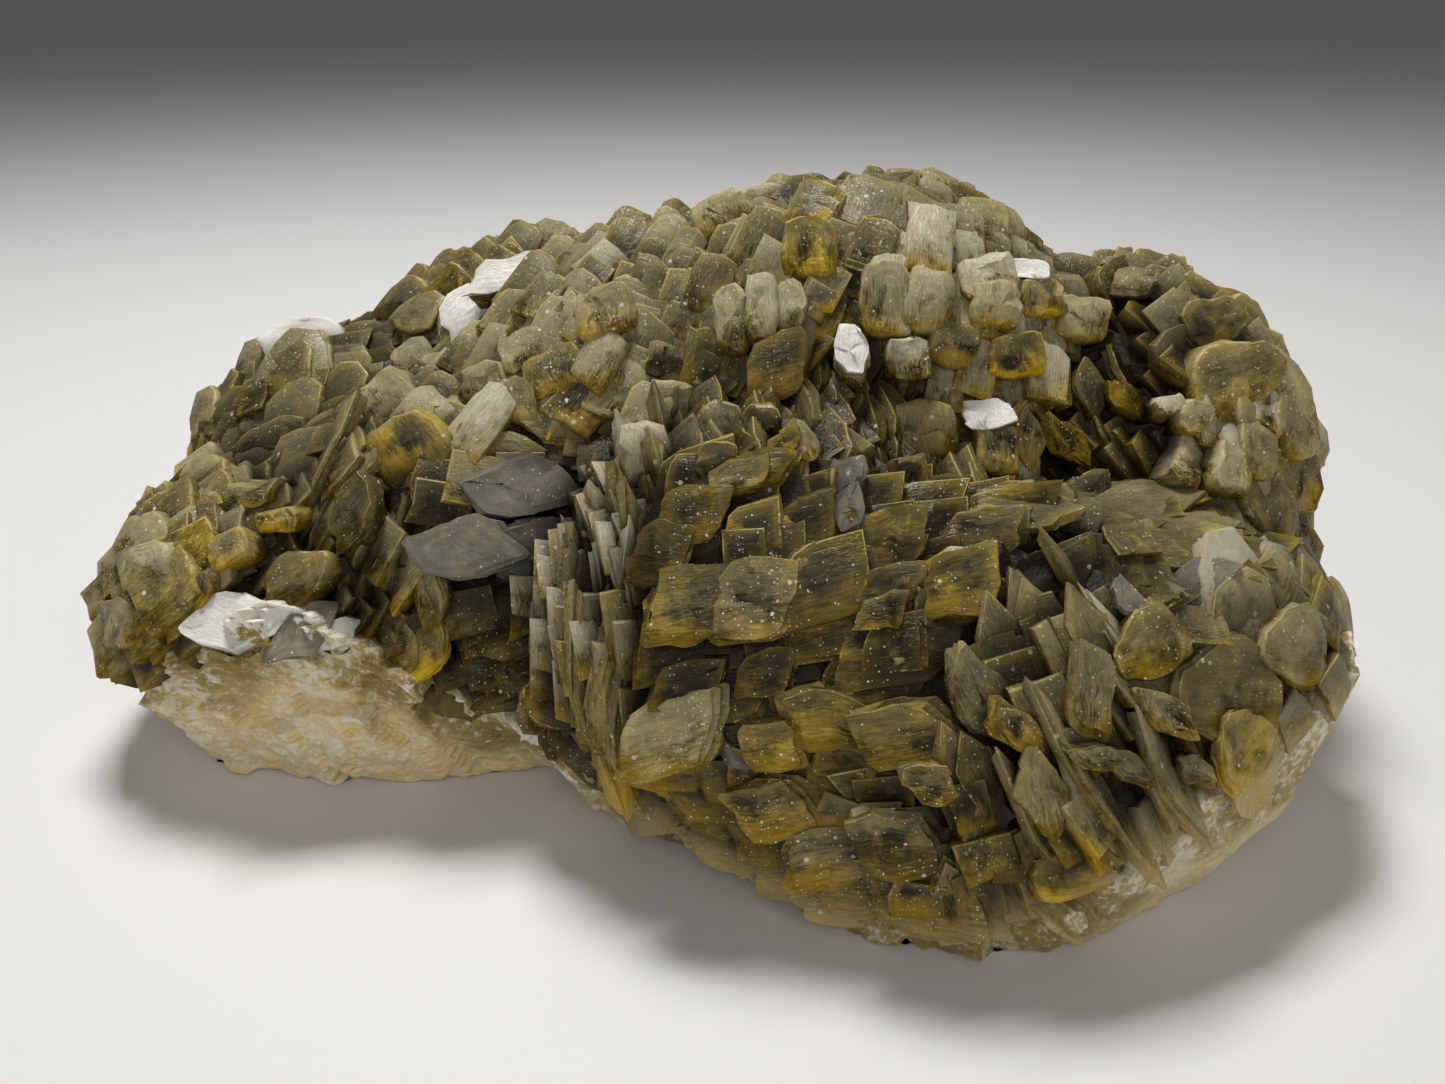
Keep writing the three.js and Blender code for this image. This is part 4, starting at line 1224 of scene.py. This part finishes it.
def crystal_material(colours):
    """Olive crystal with painted translucency: dark in its depth, with growth lines, amber, frost
    and dust, painted shade in the gaps, and painted highlights and glints.
    """
    material, n, shader = material_shell("siderite_crystal")
    place = n.add("ShaderNodeTexCoord").outputs["Object"]
    grain = n.attribute("grain", "Vector")
    rim, tint, height = (n.attribute(name) for name in ("rim", "tint", "height"))
    look = n.add("ShaderNodeSeparateXYZ", {0: n.attribute("look", "Vector")})
    dark, frost, amber = look.outputs
    rise = n.vectors("DOT_PRODUCT", grain, n.attribute("up", "Vector"))

    grey = n.step(amber, "grey")
    calm = n.maths("MAXIMUM", n.attribute("calm"), grey)
    lively = n.less(1.0, n.times(calm, CALMS))
    amber = n.maths("MAXIMUM", amber, 0.0)
    seed = n.times(tint, TINT_TO["pattern"])
    seed = n.add("ShaderNodeCombineXYZ", {0: seed, 1: seed, 2: seed}).outputs[0]
    own = n.vectors("ADD", grain, seed)

    def lines_along(stretch, scale=1.0, detail=3.0, roughness=0.6):
        return n.clouds(n.vectors("MULTIPLY", own, stretch), scale, detail, roughness)

    edge_lines = lines_along((1.0, 1.0, 9.0))
    face_lines = n.blend_value(lively, 0.5, lines_along((3.0, 15.0, 2.0)))
    cross_lines = lines_along((10.0, 2.5, 2.0), detail=2.0)
    lines = n.total((edge_lines, 0.4), (face_lines, 0.4), (cross_lines, 0.2))
    cloud = n.clouds(own, 1.0, 2.0)
    smudge = n.clouds(place, SMUDGES)
    mottle = n.clouds(place, MOTTLES, 2.0)
    grit = n.clouds(place, GRIT, 2.0, 0.7)
    growth = {0: n.times(rim, GROWTH_STEPS), 1: n.times(tint, TINT_TO["steps"])}
    growth = n.add("ShaderNodeCombineXYZ", growth).outputs[0]
    steps = n.step(n.clouds(growth, 1.0, 0.0), "growth steps")
    scratches = n.less(lines_along((2.0, 7.0, 2.0), 1.6, 4.0, 0.65), 0.5)
    scratches = n.less(1.0, n.step(n.maths("ABSOLUTE", scratches), "scratch"))

    # Green, brown and clear crystals side by side, dark in their depth, and streaked with painted
    # light: gold in the clearer parts, and a glow on their own amber, strongest low in the crystal.
    sort = n.maths("FRACT", n.times(tint, TINT_TO["sort"]))
    browner = n.step(n.plus(sort, smudge), "browner")
    body = n.blend(browner, colours["olive"], colours["brown"])
    depth = n.maths("FRACT", n.times(tint, TINT_TO["depth"]))
    clear = n.total((cloud, 0.9), (mottle, 0.15), (face_lines, 0.6), (cross_lines, 0.25),
                    (dark, -0.42), (depth, -0.24))
    body = n.blend(n.step(clear, "clear"), colours["core"], body)
    body = n.blend(n.step(clear, "lit"), body, colours["gold"])
    glow = n.total((lines, 0.9), (rise, -0.3), (mottle, 0.2), (cloud, 1.0))
    glow = n.times(n.step(glow, "glow"), amber)
    body = n.blend(glow, body, colours["amber"])
    # Painted light through the thin rims, on the upper part of each crystal.
    thin = n.times(n.step(rim, "thin rim"), n.step(rise, "thin facing up"))
    thin = n.times(thin, n.total((amber, 0.32), (0.12, 1.0)))
    body = n.blend(thin, body, colours["gold"])
    # Painted highlight: a broken pale line along the bevel round each face, more on its upper part.
    edge = n.less(1.0, n.step(rim, "edge ends"))
    edge = n.times(n.step(rim, "edge starts"), edge)
    painted_rim_highlight = n.total((smudge, 0.6), (rise, 0.22), (mottle, 0.8), (grit, 0.5))
    body = n.blend(n.times(edge, n.step(painted_rim_highlight, "painted_rim_highlight")), body, colours["honey"])
    # Dull frost in streaks and patches, with painted sheen: more of it where it faces up, and
    # there a painted white highlight where the frost is thick.
    veil = n.total((face_lines, 0.5), (mottle, 0.3), (rise, 0.22), (cloud, 0.8), (smudge, 0.3))
    frosted = n.times(n.step(veil, "frosted"), frost, clamp=True)
    painted_top_highlight = n.step(rise, "white facing up")
    painted_top_highlight = n.times(painted_top_highlight, n.step(frost, "white with frost"))
    body = n.blend(frosted, body, n.blend(painted_top_highlight, colours["frost"], colours["dust"]))
    # Plain grey crystals: a painted grey sheen, paler with frost in smooth patches.
    smooth = n.total((smudge, 0.6), (mottle, 0.4))
    smooth = n.times(n.step(smooth, "smooth"), frost)
    slate = n.blend(n.times(smooth, 0.5), colours["slate"], colours["frost"])
    body = n.blend(grey, body, slate)
    scratched = n.total((frost, 0.6), (smudge, 0.8), (rise, 0.15))
    scratched = n.times(n.step(scratched, "scratched"), 0.8)
    scratched = n.times(n.times(scratches, lively), scratched)
    body = n.blend(scratched, body, colours["honey"])
    # Darker along growth steps, lines and grit, and painted shade on the lower sides of each
    # crystal.
    sides = n.times(n.step(rim, "side rim"), n.step(rise, "side facing down"))
    shade = n.total((steps, 0.14), (mottle, 0.25), (face_lines, 0.5), (grit, 0.2),
                    (sides, -0.12), (1.0, 0.5))
    body = n.blend(1.0, body, shade, "MULTIPLY")
    # Painted white glints, on the upper face alone.
    out = n.add("ShaderNodeSeparateXYZ", {0: grain}).outputs["Z"]
    white = n.times(n.step(frost, "glint"), n.step(out, "glint on the face"))
    white = n.times(white, n.step(veil, "glint veil"))
    body = n.blend(white, body, colours["dust"])
    # Painted shade down in the gaps, and pale where the crystals run out into the broken root.
    out_of_painted_shade = n.step(height, "out of the painted gap shade")
    body = n.blend(out_of_painted_shade, colours["gap"], body)
    pale = n.blend(face_lines, colours["matrix_shade"], colours["cream"])
    body = n.blend(n.times(n.attribute("paling"), 0.8), body, pale)
    specks = n.maths("MAXIMUM", dust(n, place, *FINE_DUST), dust(n, place, *COARSE_DUST))
    body = n.blend(n.times(specks, out_of_painted_shade), body, colours["dust"])
    n.plug(shader["Base Color"], body)
    n.plug(shader["Roughness"], n.total((frosted, 0.25), (mottle, 0.2), (1.0, 0.08)))
    shader["IOR"].default_value = SIDERITE_IOR
    shader["Specular IOR Level"].default_value = CRYSTAL_SPECULAR
    relief = n.total((lines, 1.1), (mottle, 0.4), (grit, 0.1), (steps, 0.15), (scratched, 0.3))
    n.plug(shader["Normal"], n.bump(n.times(relief, lively), *CRYSTAL_BUMP))
    return material


def root_material(colours):
    """The massive root: pale and cloudy where it is broken, and between the crystals painted
    shade mixed with its dark core colour.
    """
    material, n, shader = material_shell("siderite_root")
    place = n.add("ShaderNodeTexCoord").outputs["Object"]
    broken, chalk, below = (n.attribute(name) for name in ("broken", "chalk", "below"))
    cloud = n.clouds(place, ROOT_CLOUDS, 4.0)
    grains = n.clouds(place, GRAINS, 5.0, 0.72)
    flakes = n.clouds(place, FLAKES, 3.0, 0.7)
    patches = n.plus(cloud, n.times(grains, 0.35))
    pale = n.step(patches, "pale cloud")
    body = n.blend(pale, colours["matrix_shade"], colours["matrix"])
    low = n.step(n.plus(below, n.times(patches, 22.0)), "cream low down")
    body = n.blend(low, body, colours["cream"])
    veins = n.step(n.plus(grains, n.times(cloud, 0.5)), "vein")
    body = n.blend(n.times(veins, 0.6), body, colours["chalk"])
    white = n.step(n.plus(chalk, n.times(grains, 1.2)), "chalk")
    body = n.blend(white, body, colours["chalk"])
    pits = n.step(n.plus(flakes, n.times(grains, 0.4)), "pit")
    body = n.blend(n.plus(0.6, n.times(pits, 0.4)), colours["matrix_shade"], body)
    # Between the crystals: painted gap shade, mixed in grains with the dark core colour.
    dark = n.blend(n.step(grains, "core"), colours["gap"], colours["core"])
    n.plug(shader["Base Color"], n.blend(broken, dark, body))
    for name, value in (
        ("Roughness", ROOT_ROUGHNESS),
        ("Specular IOR Level", ROOT_SPECULAR),
        ("IOR", SIDERITE_IOR),
        ("Subsurface Weight", 0.3),
        ("Subsurface Radius", (1.0, 0.75, 0.35)),
        ("Subsurface Scale", 0.003),
    ):
        shader[name].default_value = value
    n.plug(shader["Normal"], n.bump(n.plus(grains, n.times(flakes, 0.4)), *ROOT_BUMP))
    return material


def plain_material(name, colour, roughness):
    """A material of one colour, for the floor."""
    material, n, shader = material_shell(name)
    shader["Base Color"].default_value = colour
    shader["Roughness"].default_value = roughness
    return material


# ---- Properties ---------------------------------------------------------------------------------


def colour_property(name, description, *default):
    return bpy.props.FloatVectorProperty(
        name=name, description=description, default=(*default, 1), subtype="COLOR", size=4,
        min=0, max=1,
    )


class SideriteSizes(bpy.types.PropertyGroup):
    crystal_scale: bpy.props.FloatProperty(
        name="Crystal size", description="Size of every crystal over its usual size",
        default=1.0, min=0.5, max=2.0, subtype="FACTOR",
    )
    stands_proud: bpy.props.FloatProperty(
        name="Stands proud", description="How far crystals stand out of the root",
        default=4.4 * MM, min=0.0, unit="LENGTH",
    )
    root_detail: bpy.props.IntProperty(
        name="Root detail", description="Subdivisions of the root's mesh", default=7, min=4, max=8,
    )


class SideriteColours(bpy.types.PropertyGroup):
    # Painted shade for the gaps between the crystals.
    gap: colour_property("Painted gap shade", "Deep between the crystals", 0.014, 0.0105, 0.0035)
    core: colour_property("Core", "Deep colour inside a crystal", 0.021, 0.015, 0.0032)
    # Gold: painted light inside a crystal and through its thin rims.
    gold: colour_property("Gold", "Painted light inside a crystal", 0.44, 0.305, 0.025)
    olive: colour_property("Olive", "Main colour of a crystal", 0.155, 0.109, 0.009)
    brown: colour_property("Brown", "Colour of the browner crystals", 0.135, 0.083, 0.01)
    # Amber: the crystals' own amber, carrying a painted glow.
    amber: colour_property("Amber", "Own amber of a clear crystal, with painted glow", 0.62, 0.385, 0.014)
    # Honey: painted highlight on the rims, and the colour of scratches.
    honey: colour_property("Honey", "Painted highlight on thin edges, and scratches", 0.54, 0.42, 0.13)
    # Frost: dull frosted ends, with painted sheen where they face up.
    frost: colour_property("Frost", "Dull frosted ends, with painted sheen", 0.42, 0.38, 0.235)
    # Dust: specks of dust, and the colour of painted glints and highlights.
    dust: colour_property("Dust", "Specks of dust, and painted white glints and highlights", 0.85, 0.83, 0.76)
    # Painted grey sheen of the plain grey faces.
    slate: colour_property("Painted grey sheen", "Smooth grey faces, painted as a sheen", 0.15, 0.145, 0.118)
    matrix: colour_property("Broken root", "Cream of the broken root", 0.58, 0.46, 0.18)
    matrix_shade: colour_property("Root shade", "Darker clouds in it", 0.3, 0.21, 0.05)
    cream: colour_property("Cream", "Smooth lower part of the root", 0.82, 0.65, 0.33)
    chalk: colour_property("Chalk", "White crumbly patches", 0.86, 0.84, 0.76)
    floor: colour_property("Floor", "The floor it stands on", 0.76, 0.76, 0.755)


def palette():
    """The panel's colours by name."""
    props = bpy.context.scene.siderite_colours
    return {key: tuple(getattr(props, key)) for key in SideriteColours.__annotations__}


# ---- Operators ----------------------------------------------------------------------------------


class SIDERITE_OT_root(bpy.types.Operator):
    """Make the massive root with its broken faces"""

    bl_idname = "siderite.root"
    bl_label = "Broken root"

    def execute(self, context):
        mesh = root_mesh(context.scene.siderite_sizes.root_detail)
        mesh.materials.append(root_material(palette()))
        settle(new_object("broken_root", mesh))
        return {"FINISHED"}


def patch_crystals(proud):
    """Every crystal of the families and of the filling, with its piece."""
    batches = [
        (family_crystals(number, generation, proud), family, family.outline)
        for number, family in enumerate(FAMILIES)
        for generation in range(len(GENERATIONS))
    ]
    filling, families = filling_crystals(proud)
    for number, family in enumerate(FAMILIES):
        mine = families == number
        batches.append(([values[mine] for values in filling], family, "chip"))
    for made, family, outline in batches:
        calm = ROUND_CALM * (outline in ROUND)
        for centre, axes, size, pick, tint in zip(*made):
            variant = min(int((pick + 1) / 2 * VARIANTS), VARIANTS - 1)
            look = varied_look(family.look, tint, pick)
            shape = shape_number(outline, variant)
            yield family.piece, Crystal(centre, axes, size, shape, look, (tint + 1) / 2, calm)


def large_crystals():
    """Every large crystal, with its piece."""
    for number, large in enumerate(LARGE_CRYSTALS):
        axes = large.axes()
        size = np.array(large.size, float)
        centre = inside_box(np.array([large.at], float), axes[None], size[None])[0]
        shape = shape_number(large.outline, VARIANTS + number % LARGE_VARIANTS)
        calm = ROUND_CALM * (large.outline in ROUND)
        tint = (number * TINT_STEP) % 1
        yield large.piece, Crystal(centre, axes, size, shape, large.look, tint, calm)


class SIDERITE_OT_crystals(bpy.types.Operator):
    """Grow the families of crystals and the single large ones"""

    bl_idname = "siderite.crystals"
    bl_label = "Crystals"

    def execute(self, context):
        sizes = context.scene.siderite_sizes
        grown = {piece: [] for piece in PIECES}
        for piece, crystal in (*patch_crystals(sizes.stands_proud / MM), *large_crystals()):
            grown[piece].append(crystal)
        shapes = crystal_templates()
        material = crystal_material(palette())
        for piece, crystals in grown.items():
            grown_piece(piece + "_crystals", crystals, shapes, sizes.crystal_scale, material)
        for shape in list(shapes.objects):
            bpy.data.meshes.remove(shape.data)
        bpy.data.collections.remove(shapes)
        return {"FINISHED"}


class SIDERITE_OT_stage(bpy.types.Operator):
    """Lay the floor, hang the lights and set the camera"""

    bl_idname = "siderite.stage"
    bl_label = "Stage"

    def execute(self, context):
        floor = bpy.data.meshes.new("floor")
        corners = [(x * FLOOR_HALF, y * FLOOR_HALF, FLOOR_TOP)
                   for x, y in ((-1, -1), (1, -1), (1, 1), (-1, 1))]
        floor.from_pydata(corners, [], [(0, 1, 2, 3)])
        floor.materials.append(plain_material("floor", palette()["floor"], FLOOR_ROUGHNESS))
        new_object("floor", floor)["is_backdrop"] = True
        for name, at, size, power in LAMPS:
            lamp = bpy.data.lights.new(name, "AREA")
            lamp.shape = "RECTANGLE"
            lamp.size, lamp.size_y = size
            lamp.energy = power
            lamp.color = LAMP_COLOUR
            holder = new_object(name, lamp)
            holder.location = at
            aim = LAMP_AIM - Vector(at)
            holder.rotation_euler = aim.to_track_quat("-Z", "Y").to_euler()
        world = bpy.data.worlds.new("studio")
        world.use_nodes = True
        background = world.node_tree.nodes["Background"]
        background.inputs["Color"].default_value = WORLD_COLOUR
        background.inputs["Strength"].default_value = WORLD_STRENGTH
        context.scene.world = world
        context.scene.view_settings.view_transform = "Standard"
        lens = bpy.data.cameras.new("camera")
        lens.sensor_width = SENSOR
        lens.lens = SENSOR * FOCAL_SHARE
        camera = new_object("camera", lens)
        camera.location = (CAMERA_AT + TO_FRAME) * MM
        camera.rotation_euler = Euler((np.radians(90 - CAMERA_PITCH), 0, 0))
        context.scene.camera = camera
        return {"FINISHED"}


class SIDERITE_PT_panel(bpy.types.Panel):
    bl_label = "Raw siderite"
    bl_idname = "SIDERITE_PT_panel"
    bl_space_type = "VIEW_3D"
    bl_region_type = "UI"
    bl_category = "Siderite"

    def draw(self, context):
        layout = self.layout
        for group in (context.scene.siderite_sizes, context.scene.siderite_colours):
            for key in group.bl_rna.properties.keys():
                if key not in ("rna_type", "name"):
                    layout.prop(group, key)
        for operator in OPERATORS:
            layout.operator(operator.bl_idname)


OPERATORS = (SIDERITE_OT_stage, SIDERITE_OT_root, SIDERITE_OT_crystals)
CLASSES = (SideriteSizes, SideriteColours, *OPERATORS, SIDERITE_PT_panel)


def register():
    for item in CLASSES:
        bpy.utils.register_class(item)
    bpy.types.Scene.siderite_sizes = bpy.props.PointerProperty(type=SideriteSizes)
    bpy.types.Scene.siderite_colours = bpy.props.PointerProperty(type=SideriteColours)


def unregister():
    del bpy.types.Scene.siderite_colours
    del bpy.types.Scene.siderite_sizes
    for item in reversed(CLASSES):
        bpy.utils.unregister_class(item)


def main():
    register()
    bpy.ops.siderite.stage()
    bpy.ops.siderite.root()
    bpy.ops.siderite.crystals()
    sizes = {"cad": cad_box, "visual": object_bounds()}
    {key: [list(map(float, c)) for c in box] for key, box in sizes.items()}


if __name__ == "__main__":
    main()
